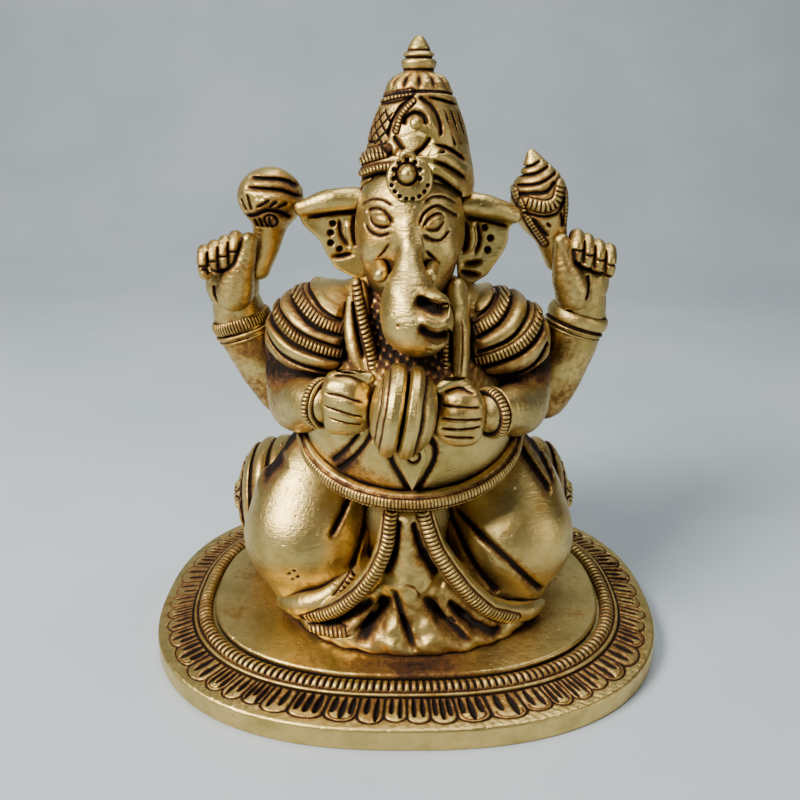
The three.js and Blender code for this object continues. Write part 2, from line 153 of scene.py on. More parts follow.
class Clay:
    """Sample points, their distance from the shape made so far, and how dark the patina and painted shade are
    there.
    """

    def __init__(self, points):
        self.p = np.asarray(points, float)
        self.x, self.y, self.z = self.p.T
        self.d = np.full(len(self.p), FAR)
        self.dark = np.zeros(len(self.p))
        self.back = FAR  # marks drawn as seen from the front stop at this depth

    # Shapes

    def ellipsoid(self, centre, radii):
        q = (self.p - centre) / radii
        k = length(q)
        return k * (k - 1) / np.maximum(length(q / radii), 1e-6)

    def limb(self, stations, steps=5):
        """A round limb through stations of x, y, z and radius."""
        path = smooth_path(stations, steps)
        best = np.full(len(self.p), FAR)
        for a, b in zip(path, path[1:]):
            step = b[:3] - a[:3]
            q = self.p - a[:3]
            t = np.clip(q @ step / (step @ step), 0, 1)
            best = np.minimum(best, length(q - t[:, None] * step) - a[3] - (b[3] - a[3]) * t)
        return best

    def lathe(self, centre, axis):
        """Radius from an axis, height along it and angle about it, with angle 0 at the front."""
        axis = np.array(axis, float)
        axis /= np.linalg.norm(axis)
        q = self.p - centre
        height = q @ axis
        flat = q - height[:, None] * axis
        front = np.array([0, -1, 0]) + axis[1] * axis
        front /= np.linalg.norm(front)
        side = np.cross(front, axis)
        return length(flat), height, np.arctan2(flat @ side, flat @ front)

    def turned(self, centre, axis, profile):
        """A solid of revolution from a profile of radius and height that starts and ends on the axis."""
        radius, height, _ = self.lathe(centre, axis)
        mirrored = [(-r, h) for r, h in reversed(profile) if r > 0]
        return outline(radius, height, list(profile) + mirrored)

    def torus(self, centre, axis, radius, thickness, width):
        """A ring whose section is an ellipse, thickness out from the axis and width along it."""
        across, height, _ = self.lathe(centre, axis)
        a = (across - radius) / thickness
        b = height / width
        k = np.sqrt(a * a + b * b)
        return k * (k - 1) / np.maximum(np.sqrt((a / thickness) ** 2 + (b / width) ** 2), 1e-6)

    # Joining

    def add(self, d, blend=0.0):
        self.d = blend_min(self.d, d, blend)

    def keep(self, d, blend=0.0):
        self.d = -blend_min(-self.d, -d, blend)

    # Darker patina, and painted shade where a form lays it.
    def stain_and_shade(self, amount):
        self.dark = np.maximum(self.dark, amount)

    # Chasing

    def trace(self, points):
        """Distance from a curve, how far along it the nearest place lies, and its whole length.
        Points of two numbers lie on the front view, points of three in space."""
        path = smooth_path(points, 3)
        flat = path.shape[1] == 2
        q = self.p[:, ::2] if flat else self.p
        near = np.all((q > path.min(0) - REACH) & (q < path.max(0) + REACH), axis=1)
        if flat:
            near &= self.y < self.back
        spots = np.flatnonzero(near)
        q = q[spots]
        best = np.full(len(q), FAR)
        along = np.zeros(len(q))
        travelled = 0.0
        for a, b in zip(path, path[1:]):
            step = b - a
            span = math.sqrt(step @ step)
            t = np.clip((q - a) @ step / span ** 2, 0, 1)
            gap = length(q - a - t[:, None] * step)
            closer = gap < best
            best[closer] = gap[closer]
            along[closer] = (travelled + t * span)[closer]
            travelled += span
        distance = np.full(len(self.p), FAR)
        arc = np.zeros(len(self.p))
        distance[spots] = best
        arc[spots] = along
        return distance, arc, travelled

    def groove(self, points, width, depth, dark=1.0, taper=1.2):
        """A line cut into the surface, dark along its bottom with a fainter halo beside it."""
        distance, arc, total = self.trace(points)
        fade = fading(arc, total, taper) ** 0.7
        self.d += depth * fade * np.exp(-(distance / width) ** 2)
        for strength, spread in ((1.0, 1.05), (0.42, 2.5)):
            self.stain_and_shade(strength * dark * fade * np.exp(-(distance / (spread * width)) ** 2))

    def rib(self, points, width, height):
        """A smooth raised rib that fades out at its ends."""
        distance, arc, total = self.trace(points)
        fade = fading(arc, total, 1.0)
        self.d -= height * fade * np.sqrt(np.clip(1 - (distance / width) ** 2, 0, 1))

    def cord(self, points, width, height, pitch, cut=0.2, dark=0.75, taper=0.0):
        """A raised band cut across with fine notches, with a dark line along each side."""
        distance, arc, total = self.trace(points)
        fade = fading(arc, total, taper)
        body = np.sqrt(np.clip(1 - (distance / width) ** 2, 0, 1))
        phase = np.abs((arc / pitch) % 1 - 0.5)
        notch = np.exp(-(phase / cut) ** 2)
        self.d -= height * fade * body * (1 - 0.65 * notch)
        self.stain_and_shade(dark * notch * np.clip(1.6 * body, 0, 1) * fade)
        edge = np.exp(-((distance - 1.08 * width) / 0.17) ** 2)
        self.d += 0.4 * height * edge * fade
        self.stain_and_shade(0.65 * edge * fade)

    def dot(self, centre, radius, height, dark=0.0):
        """A round stud where height is positive, and a pit where it is negative."""
        away = np.hypot(self.x - centre[0], self.z - centre[1])
        away[self.y > self.back] = FAR
        self.d -= height * np.sqrt(np.clip(1 - (away / radius) ** 2, 0, 1))
        self.stain_and_shade(dark * np.clip(1.6 - 1.3 * away / radius, 0, 1))

    def shade_and_patina(self, centre, radii, amount):
        """Painted shade round a place that nearby parts crowd or overhang, together with the old patina that
        polishing leaves there.
        """
        away = length((self.p - centre) / radii)
        self.dark += amount * np.clip(1.35 - away, 0, 1)

    def ring(self, centre, radius, width, depth, dark=1.0):
        """A circle cut into the surface as seen from the front."""
        away = np.hypot(self.x - centre[0], self.z - centre[1]) - radius
        away[self.y > self.back] = FAR
        line = np.exp(-(away / width) ** 2)
        self.d += depth * line
        self.stain_and_shade(dark * line)

    def leaf(self, points, height, bevel=0.5):
        """Raises the part of the surface inside an outline drawn on the front view."""
        across = outline(self.x, self.z, points)
        across[self.y > self.back] = FAR
        self.d -= height * np.clip(-across / bevel, 0, 1)

    def wobble(self, height, scale):
        """The soft unevenness of a hand-finished casting."""
        x, y, z = (self.p * scale).T
        wave = np.sin(0.83 * x + 1.3 * np.sin(0.61 * z)) * np.sin(0.71 * z + 1.1 * np.sin(0.57 * y))
        self.d += height * wave

    def stand(self):
        """Ends the shape where it meets the seat."""
        self.keep(SEAT_HEIGHT - BEDDING - self.z)


# ------------------------------------------------------------------ meshing


def grid_points(low, count, step):
    axes = [low[i] + step * np.arange(count[i]) for i in range(3)]
    return np.stack(np.meshgrid(*axes, indexing="ij"), axis=-1).reshape(-1, 3)


def sample(form, low, high, cell):
    """Fills a grid with a form's distance, worked out finely only in the blocks near its surface."""
    count = np.ceil((high - low) / (cell * BLOCK)).astype(int)
    step = cell * BLOCK
    rough = Clay(grid_points(low + 0.5 * (step - cell), count, step))
    form(rough)
    near = np.abs(rough.d) < 0.87 * step + SLACK
    spread = np.ones((BLOCK, BLOCK, BLOCK))
    field = np.kron(rough.d.reshape(count), spread)
    spots = np.flatnonzero(np.kron(near.reshape(count), spread))
    fine = Clay(low + cell * np.stack(np.unravel_index(spots, field.shape), axis=-1))
    form(fine)
    field.flat[spots] = fine.d
    return field


def corners(values):
    """A grid's values at each of the eight corners of its cells, in the order of x, y and z."""
    halves = (slice(None, -1), slice(1, None))
    return [values[i, j, k] for i in halves for j in halves for k in halves]


def crossing_middles(value):
    """Where the surface lies in each crossed cell, from its corner values, and how steep they are."""
    total = np.zeros((len(value), 3))
    crossings = np.zeros(len(value))
    slope = np.zeros((len(value), 3))
    for axis in range(3):
        turned = np.moveaxis(value, axis + 1, 1)
        others = [i for i in range(3) if i != axis]
        slope[:, axis] = (turned[:, 1] - turned[:, 0]).mean(axis=(1, 2))
        for i, j in ((0, 0), (0, 1), (1, 0), (1, 1)):
            a = turned[:, 0, i, j]
            b = turned[:, 1, i, j]
            crossed = (a < 0) != (b < 0)
            place = np.zeros((len(value), 3))
            place[:, axis] = a / np.where(crossed, a - b, 1)
            place[:, others] = (i, j)
            total += place * crossed[:, None]
            crossings += crossed
    return total / crossings[:, None], slope


def crossing_faces(inside, number, axis):
    """A face across every grid edge along one axis that the surface crosses, facing outwards."""
    others = [i for i in range(3) if i != axis]
    span = [slice(1, -1)] * 3
    span[axis] = slice(None, -1)
    start = inside[tuple(span)]
    span[axis] = slice(1, None)
    end = inside[tuple(span)]
    at = np.argwhere(start != end)
    outward = start[tuple(at.T)]
    at[:, others] += 1
    ring = []
    for shift in ((-1, -1), (0, -1), (0, 0), (-1, 0)):
        spot = at.copy()
        spot[:, others] += shift
        ring.append(number[tuple(spot.T)])
    quad = np.stack(ring, axis=-1)
    flip = outward if axis == 1 else ~outward
    quad[flip] = quad[flip][:, ::-1]
    return quad


def surface(field, low, cell):
    """Surface nets: one point in every cell the surface crosses, and a face across every crossed edge."""
    inside = field < 0
    hits = sum(c.astype(np.uint8) for c in corners(inside))
    active = (hits > 0) & (hits < 8)
    cells = np.argwhere(active)
    number = np.full(active.shape, -1)
    number[active] = np.arange(len(cells))
    value = np.stack([c[active] for c in corners(field)], axis=-1).reshape(-1, 2, 2, 2)
    middle, slope = crossing_middles(value)
    faces = np.vstack([crossing_faces(inside, number, axis) for axis in range(3)])
    return low + cell * (cells + middle), faces, slope / cell


def new_mesh(name, points, faces, dark):
    """A smooth-shaded mesh of four-sided faces, with its patina and painted shade kept on its points."""
    mesh = bpy.data.meshes.new(name)
    mesh.vertices.add(len(points))
    mesh.vertices.foreach_set("co", (points * MM).astype(np.float32).ravel())
    mesh.loops.add(faces.size)
    mesh.loops.foreach_set("vertex_index", faces.astype(np.int32).ravel())
    mesh.polygons.add(len(faces))
    mesh.polygons.foreach_set("loop_start", np.arange(0, faces.size, 4, dtype=np.int32))
    mesh.update(calc_edges=True)
    mesh.shade_smooth()
    patina_and_shade = mesh.attributes.new("patina_and_shade", "FLOAT", "POINT")
    patina_and_shade.data.foreach_set("value", dark.astype(np.float32))
    piece = bpy.data.objects.new(name, mesh)
    bpy.context.scene.collection.objects.link(piece)
    return piece


# The lattice of cells that metal fills, from which the painted shade in crevices is worked out once every
# piece is made.
LATTICE_LOW = np.array([-48.0, -39.0, -1.2])
LATTICE_COUNT = (160, 130, 174)
metal = np.zeros(LATTICE_COUNT, bool)


def sculpt(node, form, cell):
    """Makes the piece that stands for a CAD node from its form."""
    low, high = (np.array(corner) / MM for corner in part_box(node))
    first = np.floor((low - MARGIN - LATTICE_LOW) / LATTICE).astype(int)
    low = LATTICE_LOW + LATTICE * first
    field = sample(form, low, high + MARGIN, cell)
    skip = round(LATTICE / cell)
    filled = field[::skip, ::skip, ::skip] < 0
    block = tuple(slice(a, a + n) for a, n in zip(first, filled.shape))
    metal[block] |= filled[tuple(slice(0, m) for m in metal[block].shape)]
    points, faces, slope = surface(field, low, cell)
    clay = Clay(points)
    form(clay)
    steep = np.maximum(np.einsum("ij,ij->i", slope, slope), 0.2)
    move = np.clip(clay.d / steep, -0.5 * cell, 0.5 * cell)
    points -= move[:, None] * slope
    piece = new_mesh(node + "_visual", points, faces, np.clip(clay.dark, 0, 1))
    return dress(piece, node)


def dress(piece, node):
    """Attaches a piece to the root body and hides the CAD node it stands for."""
    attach(piece, "root")
    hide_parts(node)
    return piece


# ------------------------------------------------------------------ plinth


def plan(angle):
    """The plinth's outline, as multiples of its half width and half depth."""
    power = 2 / SQUARENESS
    across = np.sin(angle)
    along = -np.cos(angle)
    return np.sign(across) * np.abs(across) ** power, np.sign(along) * np.abs(along) ** power


def rim(count):
    """Points of the plinth's outline, evenly spaced round it from the front."""
    angle = np.linspace(0, 2 * np.pi, 20001)
    x, y = plan(angle)
    step = np.hypot(np.diff(x) * HALF_WIDTH, np.diff(y) * HALF_DEPTH)
    walked = np.concatenate([[0], np.cumsum(step)])
    return plan(np.interp(np.arange(count) / count * walked[-1], walked, angle))


def sweep(node, count, stations, relief, closed=False):
    """A band round the plinth through stations of inset and height, raised by its relief."""
    inset, height = (np.array(column)[:, None] for column in zip(*stations))
    turn = np.arange(count)[None, :] / count
    x, y = rim(count)
    lift, dark = relief(turn, inset, height)
    points = np.stack([(HALF_WIDTH - inset) * x, (HALF_DEPTH - inset) * y, height + lift], axis=-1)
    rings = len(stations)
    number = np.arange(rings * count).reshape(rings, count)
    if closed:
        number = np.vstack([number, number[:1]])
    after = np.roll(number, -1, axis=1)
    faces = np.stack([number[:-1], after[:-1], after[1:], number[1:]], axis=-1).reshape(-1, 4)
    if not closed:
        half = np.arange(count // 2 - 1)
        for ring, order in ((number[0], -1), (number[-1], 1)):
            facing = ring[::-1]
            cap = np.stack([ring[half], ring[half + 1], facing[half + 1], facing[half]], axis=-1)
            faces = np.vstack([faces, cap[:, ::order]])
    dark = np.broadcast_to(dark, points.shape[:2])
    piece = new_mesh(node + "_visual", points.reshape(-1, 3), faces, dark.ravel())
    return dress(piece, node)


def between(start, end, steps):
    """Evenly spaced stations from a start up to an end, without the end itself."""
    return [tuple(np.array(start) + (np.array(end) - start) * i / steps) for i in range(steps)]


def bend(centre, radius, first, last, steps):
    """Stations along an arc of the section, with angles in degrees from straight inwards."""
    angles = np.radians(np.linspace(first, last, steps + 1))
    return [(centre[0] + radius * math.cos(a), centre[1] + radius * math.sin(a)) for a in angles]


def wear(turn):
    """How deep the chasing still is round the plinth: crisp in front, rubbed down at its right side."""
    places = [0, 0.08, 0.2, 0.3, 0.5, 0.68, 0.76, 0.83, 0.9, 1]
    depths = [1, 0.85, 0.7, 0.6, 0.7, 0.5, 0.3, 0.75, 1, 1]
    return np.interp(turn, places, depths)


def petal_slits(across, inward, index, slits):
    """The lens-shaped slits along each petal, 1 in their middle and 0 clear of them."""
    half = np.pi * (HALF_WIDTH + HALF_DEPTH) / PETALS / 2
    pitch = 2 / (slits + 0.6)
    nearest = np.clip(np.round(across / pitch + (slits - 1) / 2), 0, slits - 1)
    middle = (nearest - (slits - 1) / 2) * pitch
    begin = 0.2 + 0.12 * np.sin(7 * index + 3 * nearest)
    run = np.clip((inward - begin) / (0.98 - begin), 0, 1)
    lens = np.sin(np.pi * run ** 0.8) ** 0.6 + 0.02
    return np.exp(-((across - middle) * half / (0.36 * lens)) ** 2) * (run > 0) * (run < 1)


def petal_relief(turn, inset, height):
    """Lotus petals with rounded outer ends, each cut by two or three lens-shaped slits."""
    chance = np.random.default_rng(11)
    place = turn * PETALS + 0.25 * np.sin(2 * np.pi * turn * 9)
    index = np.floor(place).astype(int) % PETALS
    across = 2 * (place - np.floor(place)) - 1
    length_chance, start_chance, wear_chance, line_chance, slit_chance = (
        chance.random(PETALS)[index] for _ in range(5))
    tip = 0.24 + 0.1 * length_chance
    start = 0.1 * start_chance
    strength = wear(turn) * (0.8 + 0.3 * wear_chance)
    inward = (inset - PETAL_MARGIN) / (PETAL_INSET - PETAL_MARGIN)
    inward = (inward - start) / (1 - start)
    end = np.hypot(across, np.maximum(tip - inward, 0) / tip)
    edge = (end - 1) * np.pi * (HALF_WIDTH + HALF_DEPTH) / PETALS / 2
    line = np.exp(-(edge / 0.2) ** 2) * (inward < 1.02)
    inner = 0.7 * (line_chance > 0.55) * np.exp(-((edge + 0.62) / 0.16) ** 2) * (inward < tip * 1.3)
    slit = petal_slits(across, inward, index, 2 + (slit_chance > 0.45))
    swell = 0.2 * np.clip(1 - end ** 4, 0, 1) * np.clip(inward * 3, 0, 1)
    above = height > 1
    on_top = above * np.clip((inset - 0.6) / 0.4, 0, 1) * np.clip((PETAL_INSET - 0.1 - inset) / 0.2, 0, 1)
    gutter = above * np.exp(-((inset - PETAL_INSET + 0.12) / 0.2) ** 2)
    rough = 0.025 * np.sin(turn * 911 + 5 * height) * np.sin(turn * 277 + 3 * inset)
    rough = rough * (height > 0.2) * (inset < UNDERSIDE_INSET)
    lift = on_top * strength * (swell - 0.35 * line - 0.2 * inner - 0.75 * slit)
    dark = np.maximum(np.maximum(0.85 * line, 0.6 * inner), 1.3 * slit)
    dark = on_top * np.clip(strength + 0.15, 0, 1) * dark
    soil = 0.06 + on_top * (0.14 + 0.2 * np.clip(inward, 0, 1))
    return lift + rough - 0.15 * gutter, np.maximum(dark, 0.9 * gutter) + soil


def base_plinth():
    foot = 0.35
    corner = 0.55
    stations = [(UNDERSIDE_INSET, 0.0), (foot, 0.0), (0.08, 0.1), (0.0, foot)]
    stations += between((0.0, foot + 0.2), (0.0, WALL_HEIGHT - corner), 12)
    stations += bend((corner, WALL_HEIGHT - corner), corner, 180, 90, 7)
    stations += between((corner + 0.15, WALL_HEIGHT + 0.02), (PETAL_INSET, BED_HEIGHT), 52)
    stations += [(PETAL_INSET, BED_HEIGHT - 0.1), (PETAL_INSET + 2.0, BED_HEIGHT - 0.1)]
    return sweep("base_plinth", PETALS * 28, stations, petal_relief)


def rope_relief(turn, inset, height):
    """Notches across the rope, left plain where it is rubbed flat."""
    crest = np.clip((height - BED_HEIGHT - 0.1) / 0.3, 0, 1)
    phase = np.abs((turn * ROPE_NOTCHES + 0.08 * np.sin(turn * 60)) % 1 - 0.5)
    notch = np.exp(-(phase / 0.19) ** 2)
    strength = np.clip(wear(turn) * 1.3 - 0.15, 0.05, 1)
    on_rope = crest * np.clip((inset - PETAL_INSET - ROPE_STRIP - 0.1) / 0.25, 0, 1)
    seam = np.exp(-((inset - PETAL_INSET - ROPE_STRIP) / 0.16) ** 2)
    lift = -0.42 * on_rope * strength * notch - 0.18 * seam
    return lift, 0.12 + np.maximum(on_rope * strength * notch, 0.85 * seam)


def rope_ring():
    """A plain strip inside the petals, then a half-round cord notched all the way round."""
    outer = PETAL_INSET + 0.05
    radius = (SEAT_INSET - 0.5 - outer - ROPE_STRIP) / 2
    rope = (outer + ROPE_STRIP + radius, ROPE_HEIGHT - radius)
    stations = [(outer, BED_HEIGHT - 0.08)]
    stations += bend((outer + 0.25, BED_HEIGHT + 0.2), 0.25, 180, 90, 4)
    stations += between((outer + 0.4, BED_HEIGHT + 0.47), (outer + ROPE_STRIP - 0.15, BED_HEIGHT + 0.42), 4)
    stations += bend(rope, radius, 165, 5, 22)
    stations += [(rope[0] + radius, BED_HEIGHT - 0.08)]
    return sweep("rope_ring", ROPE_NOTCHES * 10, stations, rope_relief, closed=True)


def seat_relief(turn, inset, height):
    """The seat's soft unevenness, its rubbed edge and the patina that lies against the rope."""
    x = (HALF_WIDTH - inset) * np.sin(2 * np.pi * turn)
    y = (inset - HALF_DEPTH) * np.cos(2 * np.pi * turn)
    inner = np.clip((inset - SEAT_INSET - 0.5) / 2, 0, 1)
    lift = 0.05 * np.sin(0.23 * x + 1) * np.sin(0.31 * y + 2) - 0.05 * (1 - inner)
    lift += 0.05 * (1 - inner) * np.sin(turn * 97) * np.sin(turn * 41 + 1)
    side = np.clip((SEAT_HEIGHT - 0.45 - height) / 0.4, 0, 1)
    front = 0.5 * np.exp(-((x - 2) / 17) ** 2 - ((y + 25) / 4) ** 2)
    soil = 0.16 * inner + front
    return lift * (height > BED_HEIGHT), np.maximum(side, soil)


def seat_platform():
    edge = 0.5
    low = BED_HEIGHT - 0.05
    top = SEAT_HEIGHT - 0.05
    stations = [(SEAT_INSET + 4, low), (SEAT_INSET, low)]
    stations += between((SEAT_INSET, low + 0.1), (SEAT_INSET, top - edge), 6)
    stations += bend((SEAT_INSET + edge, top - edge), edge, 180, 90, 7)
    stations += between((SEAT_INSET + edge + 0.2, top), (HALF_DEPTH - 2.0, top), 60)
    return sweep("seat_platform", 900, stations, seat_relief)


# ------------------------------------------------------------------ body and lap


def torso(c):
    c.add(c.ellipsoid((0.5, -3.5, 41), (17.5, 16, 15.5)))
    c.add(c.ellipsoid((0.3, 1.5, 54), (17, 10.5, 11)), 3)
    c.add(c.ellipsoid((0, 4, 20), (16, 11, 15)), 3)
    c.add(c.limb([(-13.5, 3, 56, 6.3), (14, 3, 55, 6.3)]), 2)
    c.add(c.limb([(0.5, 0.5, 60, 6.5), (0.8, 0, 67, 6)]), 2)
    c.wobble(0.1, 0.5)
    c.back = 0
    c.groove([(-7.2, 44), (-9.2, 41), (-11.8, 37.6)], 0.34, 0.4, taper=0.5)
    c.groove([(-4.6, 45.2), (-7.4, 40.6), (-10.9, 36.3)], 0.38, 0.45, taper=0.5)
    # Painted shade: the chest behind the trunk and between the sashes is darkened as shade, broken by
    # brighter bumps, and the lower belly's sides below the fists get patches of painted shade and patina.
    chest_shade = np.clip(1.5 - length((c.p - (0.5, -10, 57)) / (13, 7, 9)), 0, 1)
    grains = chest_shade * np.sin(3.7 * c.x + 1.3 * c.z) * np.sin(4.1 * c.z - 0.8 * c.x)
    c.d -= 0.25 * grains
    c.stain_and_shade(0.85 * chest_shade - 0.5 * np.clip(grains, 0, 1))
    c.shade_and_patina((-9, -15, 36), (9, 9, 4), 0.35)
    c.shade_and_patina((11, -15, 34), (8, 9, 4), 0.35)
    drop = [(0.9, 44.4), (3.6, 43.2), (4.2, 40.8), (3.2, 38),
            (0.9, 34), (-1.2, 37.6), (-2.5, 40.6), (-1.8, 43)]
    c.groove(drop + drop[:1], 0.5, 0.6, taper=0)
    c.stand()


def leg(c, thigh, shin):
    """A thigh that folds out to the knee, with the shin tucked back under it."""
    c.add(c.limb(thigh, 8))
    c.add(c.limb(shin), 1.5)
    c.wobble(0.12, 0.45)
    # Painted shade and patina: soft dark patches between the thighs, under the belly and where the legs meet
    # the seat.
    c.shade_and_patina((0, -10, 24), (9, 12, 12), 0.35)
    c.shade_and_patina((0, -3, 36), (22, 14, 6), 0.4)
    c.shade_and_patina((0, -14, 7), (26, 12, 4.5), 0.45)
    c.back = 12


def right_leg(c):
    leg(c, [(-11, 5, 29, 9), (-15.5, 0.5, 26.5, 10.3), (-17.5, -4.5, 19.5, 11)],
        [(-17, -6, 12.5, 7.5), (-5, -11, 10, 5)])
    for place in ((-18.6, 18.1), (-19.5, 17.4), (-18.1, 16.8), (-19, 16.1)):
        c.dot(place, 0.34, -0.35, 0.9)
    c.groove([(-9.5, 28.6), (-10.8, 26), (-12.9, 22.8)], 0.6, 0.9, taper=1.6)
    c.groove([(-6.4, 27.5), (-7.6, 21), (-9.8, 15.8)], 0.55, 0.8, taper=1.2)
    c.groove([(-4.6, 28.8), (-5, 25), (-6.4, 20.5)], 0.45, 0.7, taper=1)
    c.groove([(-17.4, 37.6), (-21, 34.4), (-24.8, 29.8)], 0.4, 0.6)
    c.groove([(-20.2, 33.6), (-22.6, 32), (-25.4, 28.4)], 0.8, 1.1, taper=2)
    c.stand()


def left_leg(c):
    leg(c, [(11.5, 5, 29, 9), (16.2, 0.5, 26.5, 10.3), (18.4, -4.5, 19.5, 11)],
        [(18, -6, 12.5, 7.5), (6, -11, 10, 5)])
    c.groove([(7.9, 25.6), (12.1, 23.4), (16.1, 20.6), (20.2, 16.2), (24.2, 10.5)], 0.62, 0.9, taper=2.5)
    c.groove([(4.4, 28.6), (7.3, 24.2), (11.4, 18), (15.6, 12.8)], 0.6, 0.7, taper=1)
    c.groove([(17.2, 38), (20.8, 33.5), (24.6, 28.6)], 0.55, 0.8)
    c.groove([(19.4, 37.6), (23.2, 33.4), (25.6, 29)], 0.4, 0.6)
    c.stand()


def dhoti_pleats(c):
    c.add(c.ellipsoid((0.9, -7, 7), (21.5, 15, 5.6)))
    c.add(c.limb([(0.2, -14.2, 27, 4.2), (0.6, -13.4, 13, 6.6)]), 2.5)
    c.add(c.ellipsoid((0.6, -17.2, 16.6), (3.4, 2.6, 3.4)), 1)
    ends = ((3.9, -19.4, 8.4), (-2.2, -19.9, 8.2), (-9.9, -17.4, 8.3),
            (9.4, -18.4, 8.6), (13.6, -16.6, 8.4))
    for x, y, z in ends:
        c.add(c.limb([(x, y, z - 0.6, 2.3), (0.45 * x + 0.2, -16.4, 15.5, 1.3)]), 0.35)
    c.wobble(0.22, 1.5)
    # Painted shade and patina along the foot of the pleats, where they meet the seat.
    c.shade_and_patina((0.9, -20, 3), (30, 12, 2.2), 0.4)
    c.back = -6
    c.groove([(-2.2, 15.4), (-5, 11.4), (-8.2, 7.2)], 0.95, 1.2, taper=2.2)
    c.groove([(-2.1, 17), (-0.5, 11.6), (1.4, 6.8)], 0.55, 1.1, taper=2)
    c.groove([(2.6, 15.6), (6, 11.2), (10.9, 7.4)], 0.7, 1.2, taper=2.2)
    c.groove([(6.6, 13.8), (11, 10), (16.4, 7)], 0.8, 1.1, taper=2)
    c.groove([(6.9, 11.6), (8.2, 10.6)], 0.3, 0.5, taper=0.5)
    c.groove([(-5, 14.4), (-9.6, 11.6), (-15, 9.2)], 0.9, 1.2, taper=2)
    c.groove([(-1.2, 28.8), (-1.9, 24), (-3.4, 19)], 0.45, 0.7, taper=0.6)
    c.groove([(0.9, 28.8), (2.3, 23.8), (5, 18.4)], 0.5, 0.8, taper=0.6)
    c.groove([(-0.8, 18.6), (1.5, 17.2), (2.4, 15)], 0.25, 0.3, dark=0.5)
    c.cord([(-17.2, 6.9), (-13, 8.1), (-9.1, 9.3)], 0.7, 0.4, 0.8, taper=0.8)
    c.stand()


def hem(c, path, band, roll):
    """A chased hem that falls from the belt and turns out along the shin into a smooth roll."""
    c.add(c.limb(path, 6))
    c.add(c.limb(roll, 5), 0.4)
    c.wobble(0.1, 1.2)
    c.back = -6
    c.cord(band, 1.1, 0.4, 0.68)
    c.stand()


def right_hem(c):
    path = [(-2.2, -14.8, 31.5, 1.2), (-2.8, -16.8, 29, 1.3), (-3.4, -18, 25, 1.5),
            (-4.8, -18.8, 21.2, 1.5), (-7.2, -18.9, 17.6, 1.6), (-10.2, -18, 14, 1.7),
            (-13.6, -16.2, 11, 1.7), (-18.4, -12.8, 8.6, 1.6)]
    band = [(-2.2, 31.5), (-2.6, 28.8), (-3.1, 25.2), (-4.6, 21.4),
            (-6.9, 17.8), (-9.9, 14.4), (-13.4, 11.2), (-17, 9)]
    roll = [(-9.8, -13, 15.6, 0.9), (-13.4, -15, 12.8, 1.8), (-17.8, -14, 10.6, 2.1), (-22.2, -9.2, 8.2, 1.1)]
    hem(c, path, band, roll)


def left_hem(c):
    path = [(2.2, -14.8, 31.5, 1.4), (3, -16.8, 29, 1.5), (4.6, -17.8, 24.6, 1.7),
            (7.4, -18.6, 20.2, 1.8), (10.4, -18.6, 16.2, 1.8), (13.6, -17.6, 12.8, 1.8),
            (17.4, -15.4, 10.2, 1.8), (20.4, -13.4, 8.8, 1.6)]
    band = [(2.2, 31.5), (2.9, 28.9), (4.6, 24.4), (7.4, 20.1), (10.4, 16.1), (13.7, 12.5), (18, 9.6)]
    roll = [(18, -15, 9.8, 1.5), (20.8, -13, 8.8, 1.7), (23.6, -9.8, 7.8, 1.0)]
    hem(c, path, band, roll)


def belt_path(rise=0.0, grow=0.0):
    """The line of the belt under the belly, from hip to hip."""
    return [(0.6 + (17.3 + grow) * math.sin(t), -4.6 - (14.2 + grow) * math.cos(t),
             39.2 + rise - 6.3 * math.cos(t)) for t in np.linspace(-1.45, 1.45, 13)]


def waist_belt(c):
    path = [point + (1.55,) for point in belt_path()]
    c.add(c.limb(path, 3))
    c.wobble(0.06, 1.5)
    c.cord(belt_path(0.1, 1.4), 0.8, 0.2, 0.55, dark=0.6)
    c.groove(belt_path(1.25, 1.0), 0.2, 0.2, dark=0.7, taper=0)
    c.cord(belt_path(-1.15, 1.2), 0.35, 0.15, 0.6, dark=0.5)


def navel_pendant(c):
    """A drop-shaped ornament over the navel, with a stud in a sunk ring."""
    angles = np.linspace(-0.35, math.pi + 0.35, 12)
    drop = [(0.7 + 2.3 * math.cos(a), 40.8 + 2.4 * math.sin(a)) for a in angles] + [(0.8, 35.1)]
    c.add(slab(outline(c.x, c.z, drop), np.abs(c.y + 19.0) - 1.0, 0.35))
    c.back = 0
    c.ring((0.9, 41), 1.0, 0.2, 0.3)
    c.dot((0.9, 41), 0.7, 0.5)


def bolster(c):
    """A round cushion across the back, wound with bands and gathered at its ends."""
    middle = (-0.5, 12, 18)
    axis = (1, 0, 0)
    half = [(0, 33), (2.4, 33), (3, 32.2), (7.6, 31), (10.6, 28.6), (11.9, 24), (12.1, 18)]
    c.add(c.turned(middle, axis, [(radius, -height) for radius, height in half] + half[::-1]))
    radius, height, angle = c.lathe(middle, axis)
    end = np.abs(height)
    sway = 1.1 * np.sin(angle + 0.6)
    grooves = ((17.5, 0.4, 0.5), (20.6, 0.8, 1.0), (24.2, 0.35, 0.6), (27.4, 0.4, 0.7), (29.6, 0.4, 0.6))
    for place, width, depth in grooves:
        band = np.exp(-((end - (place + sway)) / width) ** 2)
        c.d += depth * band
        c.stain_and_shade(0.95 * band)
    for place in (19.1, 25.8):
        c.d -= 0.35 * np.clip(1 - ((end - place - sway) / 0.9) ** 2, 0, 1)
    gathers = np.clip(end - 30.4, 0, 1) * np.clip(radius / 3, 0, 1) * (0.5 + 0.5 * np.cos(18 * angle)) ** 2
    c.d += 0.6 * gathers
    c.stain_and_shade(0.8 * gathers)
    # Painted shade and patina on the bolster's front, under the body.
    c.shade_and_patina((-0.5, 2, 30), (30, 9, 8), 0.4)
    c.wobble(0.16, 0.6)
    c.stand()


# ------------------------------------------------------------------ shoulders


SHAWL_EDGE = 8.3


